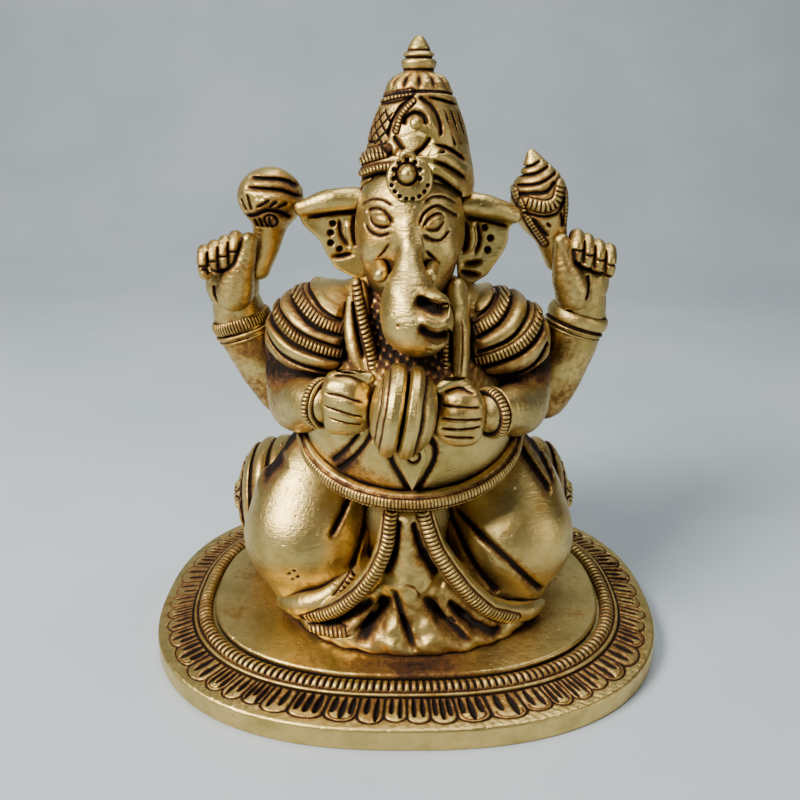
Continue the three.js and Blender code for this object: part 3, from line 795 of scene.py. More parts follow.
def shawl(c, side, centre, radii, ribs, cords, grooves):
    """A folded cloth over one shoulder, in smooth and notched folds that sweep to the chest."""
    c.add(c.ellipsoid(centre, radii))
    c.keep(SHAWL_EDGE - side * c.x, 0.6)
    c.wobble(0.14, 0.7)
    # Painted shade and patina under the shawl's lower edge and along its inner edge by the sashes.
    c.shade_and_patina((side * 16, -6, 48.5), (10, 8, 3.5), 0.6)
    c.shade_and_patina((side * 9, -8, 56), (3.5, 8, 9), 0.5)
    c.back = 20
    for path in ribs:
        c.rib(path, 1.0, 0.6)
    for path in cords:
        c.cord(path, 0.85, 0.45, 0.62)
    for path in grooves:
        c.groove(path, 0.33, 0.8, taper=0.5)
    c.groove([(side * 9.3, 61), (side * 9.5, 56), (side * 9.7, 50)], 0.5, 0.7, taper=0.5)


def right_shawl(c):
    ribs = [[(-21, 60.6), (-19.2, 59.5), (-17.5, 58.4), (-15.6, 57.6), (-13.4, 56.7), (-10, 55.5)],
            [(-23.4, 57.6), (-21.5, 55.8), (-19.5, 54.2), (-16.5, 53), (-13.6, 52.4), (-10, 51.6)],
            [(-16.4, 63), (-14, 61.4), (-12, 60.2), (-10, 59.6)]]
    cords = [[(-19.6, 62.6), (-17.2, 61), (-15, 59.4), (-12.9, 58.2), (-10, 57.3)],
             [(-22.4, 59.6), (-20.4, 58), (-18.5, 56.7), (-16.5, 55.8), (-13.8, 54.7), (-10, 53.6)]]
    grooves = [[(-18.4, 63.8), (-15.2, 61.8), (-13.2, 60), (-10, 58.4)],
               [(-20.2, 61.9), (-18.1, 60.3), (-15.6, 58.5), (-13.4, 57.4), (-9.9, 56.4)],
               [(-21.9, 60.3), (-19.9, 58.8), (-17.9, 57.5), (-16, 56.6), (-13.4, 55.7), (-9.9, 54.6)],
               [(-23.4, 58.4), (-21.3, 56.8), (-18.8, 55.3), (-16.9, 54.5), (-13.8, 53.6), (-9.9, 52.6)],
               [(-23.4, 56), (-21.5, 53.9), (-19.3, 52.4), (-16, 51.4), (-10.2, 50.4)]]
    shawl(c, -1, (-12.6, 2, 53.8), (11.2, 11.6, 9.2), ribs, cords, grooves)


def left_shawl(c):
    ribs = [[(19.4, 61), (18, 59.6), (16.8, 58), (14.8, 56.7), (10.8, 55.2)],
            [(23.2, 56.4), (21.2, 54.4), (18.9, 52.8), (16.4, 51.7), (11.4, 50.6)],
            [(14.6, 62.8), (13, 61.2), (10.6, 59.8)]]
    cords = [[(17, 62), (15.2, 60.2), (13.3, 58.6), (10.6, 57)],
             [(22.2, 58.4), (20, 56.4), (17.5, 54.8), (14.8, 53.6), (11, 52.4)]]
    grooves = [[(15.6, 62.8), (14, 61), (12.7, 59.9), (10.4, 58.6)],
               [(18.2, 61.8), (16.2, 59.5), (14.4, 57.9), (10.8, 56)],
               [(20.8, 60), (18.4, 57.6), (15.7, 55.7), (10.8, 53.9)],
               [(22.8, 57.4), (20.6, 55.1), (18.2, 53.6), (14.8, 52.4), (11, 51.4)],
               [(23.2, 54), (20.6, 51.2), (17, 50), (11.6, 49.6)]]
    shawl(c, 1, (13.6, 2, 52.8), (10.8, 11.6, 8.9), ribs, cords, grooves)


def sash(c, path, radius):
    c.add(c.limb([station + (radius,) for station in path], 6))
    c.wobble(0.1, 1.2)
    c.back = 0


def right_sash(c):
    """A notched cord that hangs from the neck, beside a plain leaf-shaped strip."""
    sash(c, [(-7.6, -4.5, 63.5), (-6.9, -8.8, 58), (-5.4, -11.6, 52)], 1.3)
    strip = [(-8.9, -5.2, 61.6, 0.6), (-8.7, -8.4, 58, 1.15), (-8, -10.6, 54.4, 1.2), (-6.9, -12, 51.6, 0.6)]
    c.add(c.limb(strip), 0.1)
    c.cord([(-8.1, 64.2), (-7.5, 61.8), (-6.8, 59), (-5.7, 55.4), (-4.9, 51.6)], 0.8, 0.4, 0.66)
    c.groove([(-8.5, 61.6), (-7.8, 58), (-6.6, 53.6)], 0.3, 0.6)


def left_sash(c):
    """A plain strip that hangs from the neck, with a beaded edge towards the trunk."""
    sash(c, [(7.8, -4.6, 63), (8, -8.8, 58), (7.8, -12, 51.5)], 1.75)
    c.add(c.limb([(5.8, -5.6, 61.6, 0.9), (6, -9.6, 56.5, 0.9), (5.9, -12.4, 51, 0.9)]), 0.1)
    c.cord([(5.9, 61.6), (6, 57), (5.8, 51)], 0.55, 0.35, 0.6, dark=0.9)
    c.groove([(6.8, 61.5), (6.8, 57), (6.7, 51)], 0.24, 0.5)
    c.groove([(8.4, 60), (8.4, 55), (8, 51.6)], 0.12, 0.15, dark=0.5)


# ------------------------------------------------------------------ head


def skull(c):
    c.add(c.ellipsoid((0.45, -1.6, 72), (8.7, 9.4, 9.4)))
    c.add(c.ellipsoid((0.5, -3.2, 76.8), (7.3, 6.6, 5.2)), 2)
    c.add(c.ellipsoid((0.3, -1.6, 66.5), (7.2, 8.4, 7)), 1.5)
    c.add(c.ellipsoid((-4.5, -6.1, 69.8), (3, 3.2, 3.6)), 1.5)
    c.add(c.ellipsoid((4.8, -6.5, 69.6), (3, 3.2, 3.6)), 1.5)
    c.add(trunk_root(c), 2.4)
    c.wobble(0.08, 0.9)


def trunk_root(c):
    """The upper trunk, which widens as it comes down between the cheeks."""
    return c.limb([(0.1, -8.3, 75.6, 0.8), (0.2, -10.2, 73, 1.0), (0.3, -11.7, 70, 1.5),
                   (0.2, -13.1, 66.8, 2.6), (0.3, -14.5, 63.4, 4.1), (0.9, -15.4, 60.8, 4.6)], 6)


def eye(c, place, lean, lines):
    """A bulging almond eye, with the lids and folds cut as lines round it."""
    u = (c.x - place[0]) * math.cos(lean) + (c.z - place[1]) * math.sin(lean)
    w = (c.z - place[1]) * math.cos(lean) - (c.x - place[0]) * math.sin(lean)
    ball = np.clip(1 - (u / 1.5) ** 2 - (w / 0.85) ** 2, 0, 1) * (c.y < c.back)
    c.d -= 0.9 * np.sqrt(ball)
    for path, width, depth in lines:
        c.groove(path, width, depth, dark=0.8, taper=0.7)


def head(c):
    skull(c)
    c.stain_and_shade(0.12)
    c.back = -3
    eye(c, (-3.9, 74.6), -0.12, [
        ([(-6.1, 75.3), (-5.2, 75.9), (-3.9, 76), (-2.8, 75.2), (-2.2, 74)], 0.24, 0.4),
        ([(-5.6, 75.1), (-5, 73.8), (-3.7, 73.4), (-2.5, 73.8)], 0.2, 0.3),
        ([(-6.4, 73.9), (-5.5, 72.7), (-3.9, 72.2), (-2.3, 72.9)], 0.22, 0.35),
        ([(-6.9, 75.9), (-6.1, 76.8), (-4.9, 77.3), (-3.4, 77.2), (-2, 76.4)], 0.18, 0.22)])
    eye(c, (4, 74.3), 0.45, [
        ([(1.7, 73.9), (2.4, 75.5), (4.1, 76.5), (5.7, 75.8), (7.8, 74.4)], 0.25, 0.45),
        ([(2.1, 73.4), (3.1, 74.8), (4.4, 75.4), (5.5, 75.1)], 0.18, 0.3),
        ([(2.5, 73.4), (4.3, 73.1), (5.5, 74.5)], 0.2, 0.3),
        ([(2.2, 72.7), (3.4, 71.8), (5, 71.6), (6.4, 73)], 0.26, 0.4),
        ([(2.3, 76.9), (3.6, 77.8), (5.6, 77.6), (7.4, 76.4)], 0.16, 0.2)])
    c.groove([(-2.4, 71.8), (-3.4, 70), (-4.8, 68.5)], 0.18, 0.25, dark=0.6)
    c.groove([(2.6, 70.4), (3.6, 69.2), (4.6, 68.6)], 0.2, 0.3)
    # Painted shade and patina low on the cheeks, towards the ears.
    c.shade_and_patina((7.5, -4, 67), (4, 5, 5), 0.35)
    c.shade_and_patina((-6.5, -4, 66.5), (4, 5, 4), 0.35)
    c.groove([(-4.8, 67.4), (-4.2, 68.3), (-3.2, 68.1), (-2.5, 66.4)], 0.28, 0.5, taper=0.4)
    c.groove([(2.2, 65.8), (2.4, 67.7), (3.5, 68.4), (4.8, 67.9)], 0.28, 0.5, taper=0.4)


def trunk(c):
    """The trunk hangs down the middle of the face and curls to the figure's left."""
    skull(c)
    c.d -= 0.03
    c.keep(trunk_root(c) - 0.8, 0.3)
    c.stain_and_shade(0.12)
    curl = [(0.9, -15.4, 60.6, 4.6), (1.9, -16, 59.8, 4.2), (3.2, -16.6, 61.2, 3.5), (3.4, -16.8, 62.6, 2.6)]
    c.add(c.limb(curl), 0.8)
    c.wobble(0.1, 1.1)
    c.back = -10
    c.groove([(0.9, 64.7), (2.7, 63.7), (4.3, 63.2), (5.9, 63)], 0.75, 1.7, taper=1.0)
    c.rib([(1.2, 65.6), (3.3, 65.2), (5.5, 64.7), (6.6, 63.6)], 0.55, 0.4)
    c.rib([(1.5, 62.4), (2.5, 62), (4.4, 61.4), (6.4, 62)], 0.6, 0.45)
    c.groove([(1.4, 61.4), (2.9, 60), (4.7, 59.5), (6.2, 60.1)], 0.65, 1.4, taper=1.0)
    c.rib([(2.4, 58.7), (4.5, 57.8), (6.2, 58.7)], 0.6, 0.35)
    c.groove([(-1.6, 61.4), (-1.1, 60.9)], 0.25, 0.3, dark=0.6, taper=0.3)
    # Painted shade and patina under the trunk's curl.
    c.shade_and_patina((3, -13, 58), (6, 5, 2.5), 0.3)


def tusk(c, root, tip, radius):
    """What is left of a tusk, rounded off close to the cheek."""
    c.add(c.limb([root + (radius,), tip + (radius,)]))
    c.wobble(0.05, 1.5)


def right_tusk(c):
    tusk(c, (-4, -9.4, 67.6), (-4, -11.8, 66.8), 1.15)


def left_tusk(c):
    tusk(c, (3.7, -9.8, 67.6), (3.4, -12.2, 66.8), 1.1)


def ear(c, flap, rim_path, holes, arcs, lens, slots):
    """A flat ear with a thick rolled rim on top, punched dots and cut folds in its flap."""
    across = outline(c.x, c.z, smooth_loop(flap))
    c.add(slab(across, np.abs(c.y - 2.2) - 1.0, 0.5))
    c.add(c.limb(rim_path), 0.5)
    c.wobble(0.08, 1.3)
    c.back = 2.2
    for path in arcs:
        c.groove(path, 0.32, 0.55)
    c.rib(lens, 0.55, 0.5)
    for path in slots:
        c.groove(path, 0.42, 0.7)
    for place in holes:
        c.dot(place, 0.62, -0.7, 1.0)


def right_ear(c):
    flap = [(-6.5, 77), (-12.5, 76.9), (-16.6, 75), (-16.9, 72.6),
            (-14.4, 69.8), (-12.6, 66.6), (-11, 64.8), (-6.5, 64)]
    rim_path = [(-7, 1, 76.4, 1.7), (-12.5, 0.9, 76, 1.8), (-16.9, 1.6, 74.7, 1.2)]
    holes = [(-11.9, 72.4), (-12.3, 70.9), (-12.3, 69.3), (-10.9, 68.3)]
    arcs = [[(-10.8, 73.4), (-10.7, 70.8), (-9.3, 68.4)], [(-7, 74.4), (-11.3, 74.1), (-16, 73.3)]]
    slots = [[(-12.4, 67), (-11, 67.1), (-8.4, 67.6)], [(-8.4, 74), (-8.2, 71), (-8.3, 68.6)]]
    ear(c, flap, rim_path, holes, arcs, [(-9.3, 73), (-9.4, 71.2), (-8.9, 69)], slots)


def left_ear(c):
    flap = [(8.5, 76.5), (13.5, 76.2), (17.2, 74), (16.6, 71.4),
            (16.2, 69), (14.8, 66.2), (12.4, 63.4), (8.5, 63.2)]
    rim_path = [(8.5, 1, 75.6, 1.8), (13, 0.9, 75.1, 1.8), (17.2, 1.6, 73.7, 1.3)]
    holes = [(12.5, 71.8), (13.5, 70.1), (13.1, 68.2)]
    arcs = [[(11.2, 73), (11.8, 69.8), (11, 67.3)], [(9, 73.4), (12.8, 72.8), (16.6, 71.8)]]
    slots = [[(12.4, 66.5), (11, 66), (9, 65.8)],
             [(9.2, 73), (9.4, 70), (9.2, 67.4)],
             [(8.5, 64.6), (12.2, 63.9)]]
    ear(c, flap, rim_path, holes, arcs, [(10.1, 72.6), (10.6, 70), (10, 67.6)], slots)


# ------------------------------------------------------------------ crown


CROWN_X = 1.7
CROWN_Y = 0.5
UP = (0, 0, 1)
RIM_ARCH = [(-9, 78), (-7, 78.6), (-5.2, 80), (-2.8, 80.7), (2.5, 80.8),
            (4.7, 80.1), (7, 78.4), (8.3, 77.3), (12, 77)]


def turban_folds(c):
    """The wound folds round the foot of the crown, notched on one side and plain on the other."""
    c.cord([(-8.4, 82), (-7.3, 82.5), (-5.6, 83.3), (-3.2, 84.1)], 0.85, 0.5, 0.6, cut=0.24)
    c.cord([(-8, 80.2), (-5.4, 81.4), (-3.6, 81.9), (-1.6, 82.1)], 0.5, 0.35, 0.55)
    c.groove([(-8, 79), (-5.6, 80.3), (-3.6, 81), (-2.2, 80.9)], 0.28, 0.55)
    c.rib([(3.4, 84.1), (6.3, 82.8), (9.4, 80.6)], 1.0, 0.75)
    c.groove([(3.6, 85.1), (6.2, 84.2), (8.8, 82.4)], 0.24, 0.66)
    c.groove([(3.6, 82.9), (6.3, 81.7), (9, 79.8)], 0.26, 0.66)
    c.rib([(2.8, 81.9), (5, 81.2), (8.2, 79.2)], 0.8, 0.65)
    c.groove([(2.5, 81), (4.7, 80.4), (7, 78.6), (8.4, 77.6)], 0.28, 0.55)


def crown_band(c):
    """The wound rim of the turban, arched over the forehead."""
    profile = [(0, 76.5), (8.6, 77), (8.9, 79), (8.7, 81.5), (8.3, 83.4), (0, 83.5)]
    c.add(c.turned((1.5, -0.6, 0), UP, profile))
    lower = np.interp(c.x, *zip(*RIM_ARCH))
    arch = np.where(c.y < 0, lower, 77.4)
    c.keep(arch - c.z, 0.7)
    c.wobble(0.08, 1.0)
    c.back = 1
    turban_folds(c)


def crown_net(c, turn):
    """A net of crossed lines on one side of the crown and upright streaks on the other."""
    net = np.maximum(np.cos(21 * turn + 3.3 * c.z), np.cos(21 * turn - 3.3 * c.z))
    streaks = np.cos(6.5 * c.x + 2.2 * c.z) + 0.3 * np.cos(1.7 * c.z + c.x)
    field = np.clip((90 - c.z) / 0.5, 0, 1) * np.clip((c.z - 84.6) / 0.4, 0, 1)
    field = field * np.clip((np.abs(turn) - 0.6) / 0.1, 0, 1)
    lines = np.clip(np.where(turn > 0, net, 0.9 * streaks) * 3 - 1.7, 0, 1) * field
    c.d += 0.22 * lines
    c.stain_and_shade(0.8 * lines + 0.25 * field)


def crown(c):
    """A tall domed crown with a pointed arch in front and a petalled shoulder on top."""
    profile = [(0, 78), (8.5, 78.3), (8.5, 80), (8.4, 82), (7.9, 84.5), (7.3, 87), (6.4, 89.5),
               (5.7, 91), (5.2, 92.1), (4.7, 93.5), (4.0, 94.3), (2.6, 94.9), (0, 94.9)]
    c.add(c.turned((CROWN_X, CROWN_Y, 0), UP, profile))
    _, _, turn = c.lathe((CROWN_X, CROWN_Y, 0), UP)
    c.wobble(0.06, 1.1)
    gaps = np.exp(-(c.z - 93.6) ** 2) * (1 - np.abs(np.sin(6.5 * turn)) ** 0.5)
    c.d += 0.6 * gaps
    c.stain_and_shade(1.1 * gaps)
    seam = np.exp(-((c.z - 91.4 - 0.8 * np.cos(turn + 0.2)) / 0.24) ** 2)
    c.d += 0.4 * seam
    c.stain_and_shade(0.95 * seam)
    crown_net(c, turn)
    c.back = CROWN_Y
    crown_front(c)
    turban_folds(c)


def crown_front(c):
    """The arch over a studded flower, with leaves and scrolls below it."""
    c.cord([(-5, 90.9), (-2.2, 91.6), (0.6, 92.1)], 0.5, 0.35, 0.55)
    c.groove([(-4.6, 90.3), (-2.1, 90.7), (0.9, 91.4)], 0.16, 0.36)
    c.rib([(2, 92.2), (4.6, 91.8), (7.6, 90.9)], 0.5, 0.3)
    c.groove([(2.8, 91.4), (4.5, 91.1), (7.6, 90.3)], 0.18, 0.41)
    c.groove([(0.9, 91.6), (-1, 90.1), (-2.4, 87.8), (-2.9, 85.9)], 0.20, 0.50, taper=0.4)
    c.groove([(1.6, 91.5), (3.7, 89.9), (4.7, 87.9), (4.9, 86)], 0.27, 0.63, taper=0.4)
    c.cord([(0.8, 90.9), (-0.9, 89.1), (-1.7, 86.8)], 0.4, 0.35, 0.5)
    c.rib([(1.4, 90.7), (3, 89.1), (3.8, 86.9)], 0.5, 0.4)
    c.groove([(-0.5, 87.6), (-0.2, 88.7), (1.1, 89.3), (2.4, 88.7), (2.7, 87.6)], 0.30, 0.72, taper=0.3)
    c.dot((1.1, 87.9), 0.8, 0.6)
    c.leaf([(-1.7, 86.2), (1.1, 87.0), (3.2, 86.2), (2.2, 84.6), (0.7, 83.3), (-0.8, 84.4)], 0.45)
    c.groove([(-2, 86.2), (-0.9, 84.6), (0.6, 83.2)], 0.23, 0.54, taper=0.4)
    c.groove([(3.4, 86), (2.3, 84.6), (0.9, 83.5)], 0.27, 0.54, taper=0.4)
    c.leaf([(-4, 85.1), (-2.3, 86.2), (-1.1, 84.5), (-1.9, 83.3), (-3, 83.9)], 0.4)
    c.groove([(-4, 84.9), (-2.9, 83.7), (-1.6, 83)], 0.18, 0.36, taper=0.4)
    c.leaf([(3.8, 85.8), (5.6, 84.7), (4.4, 83.3), (2.7, 82.6), (1.9, 83.3), (2.8, 84.4)], 0.4)
    c.groove([(5.6, 84.2), (4.2, 83), (2, 82.3)], 0.27, 0.45, taper=0.4)
    c.groove([(-7.8, 84), (-6.2, 84.8), (-4, 85.4)], 0.20, 0.45)


def crown_finial(c):
    profile = [(0, 94.5), (2.3, 94.6), (2.45, 95.3), (2.7, 96.2), (2.45, 96.7), (2.1, 96.9),
               (2.4, 97.3), (1.9, 97.8), (1.6, 98.4), (1.1, 99.2), (0.6, 99.8), (0, 100)]
    c.add(c.turned((CROWN_X, CROWN_Y, 0), UP, profile))
    for level in (95.2, 96.85, 97.9):
        line = np.exp(-((c.z - level) / 0.2) ** 2)
        c.d += 0.15 * line
        c.stain_and_shade(0.85 * line)


def forehead_jewel(c):
    """A ball in a sunk ring, with a loop above and a rim of punched dots below."""
    x, z = -0.1, 81.1
    disc = np.hypot((c.x - 0.3) / 1.04, c.z - 80.3) - 3.3
    thickness = np.abs(c.y + 9.2 - 0.15 * (c.z - 80)) - 1.2
    c.add(slab(disc, thickness, 0.7))
    c.add(c.ellipsoid((x, -10.6, z), (1.2, 1.4, 1.2)), 0.1)
    c.add(c.torus((x, -9.4, 83.3), (0, 1, 0.3), 0.9, 0.35, 0.7), 0.1)
    c.back = -7
    c.ring((x, z), 1.5, 0.2, 0.6)
    for turn in np.linspace(-1.9, 1.9, 7):
        c.dot((x + 1.95 * math.sin(turn), z + 1.95 * math.cos(turn)), 0.42, -0.4, 0.9)
    for turn in np.linspace(-1.25, 1.25, 8):
        c.dot((0.3 + 2.75 * math.sin(turn), 80.4 - 2.75 * math.cos(turn)), 0.36, -0.4, 0.95)


# ------------------------------------------------------------------ arms and hands


def arm(c, stations):
    c.add(c.limb(stations, 6))
    c.wobble(0.12, 0.6)
    c.stain_and_shade(0.2)
    # Painted shade and patina: a dark band where the arms go in under the shawls, and a patch behind the
    # body.
    c.shade_and_patina((0, -1, 50.5), (24, 11, 4.5), 1.5)
    c.shade_and_patina((0, 6, 42), (28, 9, 4), 0.4)


def front_right_arm(c):
    arm(c, [(-18.3, 1, 52, 5.6), (-17.4, -5.2, 44.8, 5.4),
            (-15.8, -12, 46.8, 3.6), (-13.2, -14.6, 47.7, 3.1)])


def front_left_arm(c):
    arm(c, [(18.7, 1, 51.2, 5.6), (18.2, -5.2, 44.3, 5.4), (16.2, -12, 45.7, 3.6), (13, -15, 46.2, 3.1)])


def rear_right_arm(c):
    arm(c, [(-15, 6.5, 52.5, 6), (-21, 8, 44.5, 4.8), (-22.3, 8.2, 41, 4.2), (-26.4, 8.2, 48.5, 4.9),
            (-29, 8, 54.5, 4.7), (-29.6, 7, 59.5, 3.9)])


def rear_left_arm(c):
    arm(c, [(15.5, 6.5, 51.5, 6), (23, 8, 43.5, 4.9), (25.3, 8.2, 40.8, 4.5), (28.4, 8.2, 48.5, 4.9),
            (30.2, 8, 55.2, 4.7), (30.4, 7, 60, 3.9)])


def bangle(c, centre, axis, radius, thickness, width, notches, strips):
    """A close-fitting wrist ornament of side-by-side hoops, the notched ones cut across."""
    reach, height, turn = c.lathe(centre, axis)
    c.add(c.torus(centre, axis, radius, thickness, width))
    c.wobble(0.08, 1.0)
    for place, half, notched in strips:
        strip = np.clip(1 - ((height - place) / half) ** 2, 0, 1) ** 0.5
        phase = np.abs((turn * notches / (2 * np.pi)) % 1 - 0.5)
        cut = np.exp(-(phase / 0.2) ** 2) * notched
        c.d -= 0.35 * strip * (1 - 0.7 * cut) * (reach > radius)
        c.stain_and_shade(0.75 * np.clip(1.5 * strip, 0, 1) * cut)
        edge = np.exp(-((np.abs(height - place) - 1.05 * half) / 0.17) ** 2)
        c.d += 0.25 * edge
        c.stain_and_shade(0.85 * edge)


def front_right_bracelet(c):
    strips = [(-0.3, 0.75, True), (0.95, 0.35, False)]
    bangle(c, (-13.2, -14.5, 47.5), (0.8, -0.6, 0.05), 2.9, 0.75, 1.4, 38, strips)


def front_left_bracelet(c):
    strips = [(-0.9, 0.4, False), (0.4, 0.75, True)]
    bangle(c, (12.9, -14.9, 46.1), (-0.8, -0.6, 0.02), 3.0, 0.8, 1.4, 38, strips)


def rear_right_bracelet(c):
    strips = [(-2.1, 0.4, False), (-1.1, 0.45, False), (0.7, 1.15, True)]
    bangle(c, (-28.9, 8, 54), (-0.3, 0, 0.95), 4.15, 0.9, 2.4, 60, strips)


def rear_left_bracelet(c):
    strips = [(-2.1, 0.4, False), (-1.2, 0.35, False), (0.7, 1.2, False)]
    bangle(c, (30, 8, 54.8), (0.3, 0, 0.95), 4.25, 0.9, 2.4, 60, strips)


def fist(c, side, palm, lines, thumb):
    """A fist closed on a cymbal, its fingers marked off by fine lines."""
    c.add(c.ellipsoid(palm, (3.5, 3.6, 4.6)))
    for i in range(FINGERS):
        lift = 3.0 - 2.0 * i
        root = (palm[0] + side, palm[1] - 1.2, palm[2] + 0.95 * lift, 1.5)
        bend = (palm[0] - side * 1.2, palm[1] - 2.6 + 0.1 * lift * lift, palm[2] + lift, 1.4)
        tip = (palm[0] - side * 3.2, palm[1] - 2.2 + 0.14 * lift * lift, palm[2] + 0.85 * lift - 0.2, 1.2)
        c.add(c.limb([root, bend, tip], 4), 1.3)
    c.add(c.limb(thumb, 4), 0.5)
    c.wobble(0.06, 1.3)
    c.back = palm[1] + 1
    for path in lines:
        c.groove(path, 0.17, 0.3, dark=0.85, taper=0.8)


def front_right_hand(c):
    lines = [[(-12.2, 50.7), (-9.5, 50.6), (-6.4, 49.4)], [(-12.6, 48.8), (-10, 48.4), (-6.4, 47.2)],
             [(-11.8, 47), (-9.4, 46.6), (-6.6, 45.8)], [(-11.2, 52.9), (-8.6, 53.1), (-6.2, 52)]]
    thumb = [(-11, -16.4, 52, 1.3), (-8.6, -17, 53, 1.1), (-5.6, -17.4, 52.6, 0.9)]
    fist(c, -1, (-9.8, -16.2, 48.2), lines, thumb)


def front_left_hand(c):
    lines = [[(4.8, 49), (7.6, 49.1), (10.9, 48.7)], [(4.8, 47.3), (7.8, 47.3), (11.4, 46.8)],
             [(4.8, 45.7), (7.6, 45.8), (11.2, 45.7)], [(5.2, 44.3), (7.6, 44.3), (10.2, 44)],
             [(5.4, 50.6), (7.6, 51.2), (10, 50.6)]]
    thumb = [(8.6, -16.4, 51, 1.2), (6.6, -17, 51.8, 1.1), (4.6, -17.6, 51, 0.9)]
    fist(c, 1, (8.4, -16.8, 46.6), lines, thumb)


def rear_hand(c, palm, first, step, thumb, lines):
    """A raised hand with the fingers bent forward over an emblem."""
    c.add(c.ellipsoid(palm, (4.6, 4, 5.6)))
    creases = []
    for i in range(FINGERS):
        x, y, z = first[0] + step[0] * (i - 1.5), first[1], first[2] + step[1] * (i - 1.5)
        root = (x + 0.1 * step[0], y + 1.8, z - 2.6, 1.25)
        knuckle = (x, y - 0.4, z + 0.9, 1.2)
        joint = (x - 0.1 * step[0], y - 2.6, z - 0.3, 1.2)
        tip = (x - 0.2 * step[0], y - 2.9, z - 2.4, 1.05)
        c.add(c.limb([root, knuckle, joint, tip], 4), 0.15)
        creases.append(([(x - 0.55 * step[0], z - 0.9), (x + 0.55 * step[0], z - 1.1)], 0.2))
        if i > 0:
            gap = x - 0.5 * step[0]
            creases.append(([(gap, z + 1.4), (gap, z - 2.6)], 0.24))
    c.add(c.limb(thumb, 4), 0.4)
    c.wobble(0.08, 1.1)
    c.stain_and_shade(0.2)
    c.back = 5
    for path, width in creases + [(line, 0.32) for line in lines]:
        c.groove(path, width, 1.5 * width, taper=0.5)


def rear_right_hand(c):
    lines = [[(-33.8, 65), (-30.6, 64.5), (-28.5, 65.7), (-27.8, 67.1), (-26.6, 70.3)],
             [(-32.3, 62), (-32.4, 60.2), (-31.6, 58.4)], [(-32.6, 56.3), (-29.6, 56.2), (-27, 57.2)]]
    thumb = [(-29, 3.8, 60.4, 3.1), (-27.7, 2.9, 64.2, 2.4),
             (-26.1, 2.4, 67.8, 1.4), (-25.8, 2.3, 69.5, 1.35)]
    rear_hand(c, (-29.9, 6.8, 61.4), (-31, 5.2, 67.6), (-1.75, -0.8), thumb, lines)


def rear_left_hand(c):
    lines = [[(27.2, 68.4), (27.8, 65.9), (30.4, 64.5), (34, 63.6)],
             [(30.2, 63.8), (30.4, 61.7), (29.9, 59.6)], [(27, 57.6), (30.1, 57.2), (33.4, 58.8)]]
    thumb = [(28.2, 4, 60.4, 3.1), (26.6, 3, 63.8, 2.4), (25.5, 2.6, 67.2, 1.35), (25.3, 2.5, 69.3, 1.4)]
    rear_hand(c, (30.2, 6.8, 61.8), (30.9, 5.2, 67.8), (1.85, -0.8), thumb, lines)


# ------------------------------------------------------------------ emblems


CYMBALS = (-0.8, -20.2, 48.4)
CYMBAL_AXIS = np.array([0.987, 0.0, -0.16])


def cymbal(c, side, profile, lines):
    """A hand cymbal with a rolled rim round a raised middle."""
    radius, height, _ = c.lathe(CYMBALS, side * CYMBAL_AXIS)
    c.add(c.turned(CYMBALS, side * CYMBAL_AXIS, profile))
    c.wobble(0.05, 1.2)
    for place in lines:
        line = np.exp(-((radius - place) / 0.25) ** 2) * (height > 0.8)
        c.d += 0.3 * line
        c.stain_and_shade(0.9 * line)


def right_cymbal(c):
    profile = [(0, 0.2), (6.2, 0.2), (6.9, 0.7), (7.0, 1.7), (6.7, 2.4),
               (6.0, 2.8), (5.2, 3.4), (3.6, 4.2), (1.6, 4.6), (0, 4.7)]
    cymbal(c, -1, profile, (6.1, 4.9))


def left_cymbal(c):
    profile = [(0, 0.2), (6.2, 0.2), (6.9, 0.6), (7.0, 1.6), (6.6, 2.2),
               (6.1, 2.5), (5.4, 3.5), (4.2, 4.4), (2.4, 4.9), (0, 5.0)]
    cymbal(c, 1, profile, (5.9,))


def mace(c):
    """A bulbous bud wound with bands, on a short tapering handle."""
    c.add(c.ellipsoid((-22.3, 5.4, 76), (5.3, 5.2, 4.9)))
    c.add(c.limb([(-22.5, 5.8, 72.4, 3.0), (-23.6, 6.3, 68.2, 2.3), (-25.2, 7, 64, 2.0)]), 1)
    c.wobble(0.14, 0.7)
    c.back = 20
    c.groove([(-25.2, 79.4), (-22.9, 79.3), (-19.7, 79), (-17.4, 77.6)], 0.26, 0.6)
    c.rib([(-24.9, 78.7), (-22.6, 78.6), (-19.6, 78.3), (-17.1, 77)], 0.55, 0.35)
    c.groove([(-25.6, 78), (-22.6, 77.9), (-19.7, 77.5), (-17, 76.3)], 0.26, 0.5)
    c.rib([(-26.8, 77.2), (-23, 77), (-19.6, 76.6), (-17, 75.4)], 0.5, 0.3)
    c.groove([(-26.6, 73.4), (-24.6, 73.6), (-22.4, 74.5), (-20.3, 74.2), (-18.6, 73)], 0.36, 0.7)
    leaflets = [((-24, 74.9), (-21.5, 76.3)), ((-22, 74.9), (-20.4, 76.1)), ((-20.9, 74.7), (-19, 75.8)),
                ((-26.7, 76.4), (-25.6, 74.1)), ((-25.4, 77.2), (-24.7, 74.3))]
    for leaflet in leaflets:
        c.groove(leaflet, 0.22, 0.45, dark=0.8, taper=0.5)
    for i in range(4):
        c.groove([(-24.6 + 0.9 * i, 73.2 + 0.2 * i), (-24.3 + 0.8 * i, 71.4)], 0.25, 0.35, taper=0.4)
    c.rib([(-24.6, 76.6), (-23, 75.8), (-21.4, 76.6), (-19.6, 75.8)], 0.6, 0.4)
    c.dot((-21.9, 72.8), 0.95, 0.9)
    c.ring((-21.9, 72.8), 1.0, 0.2, 0.25)


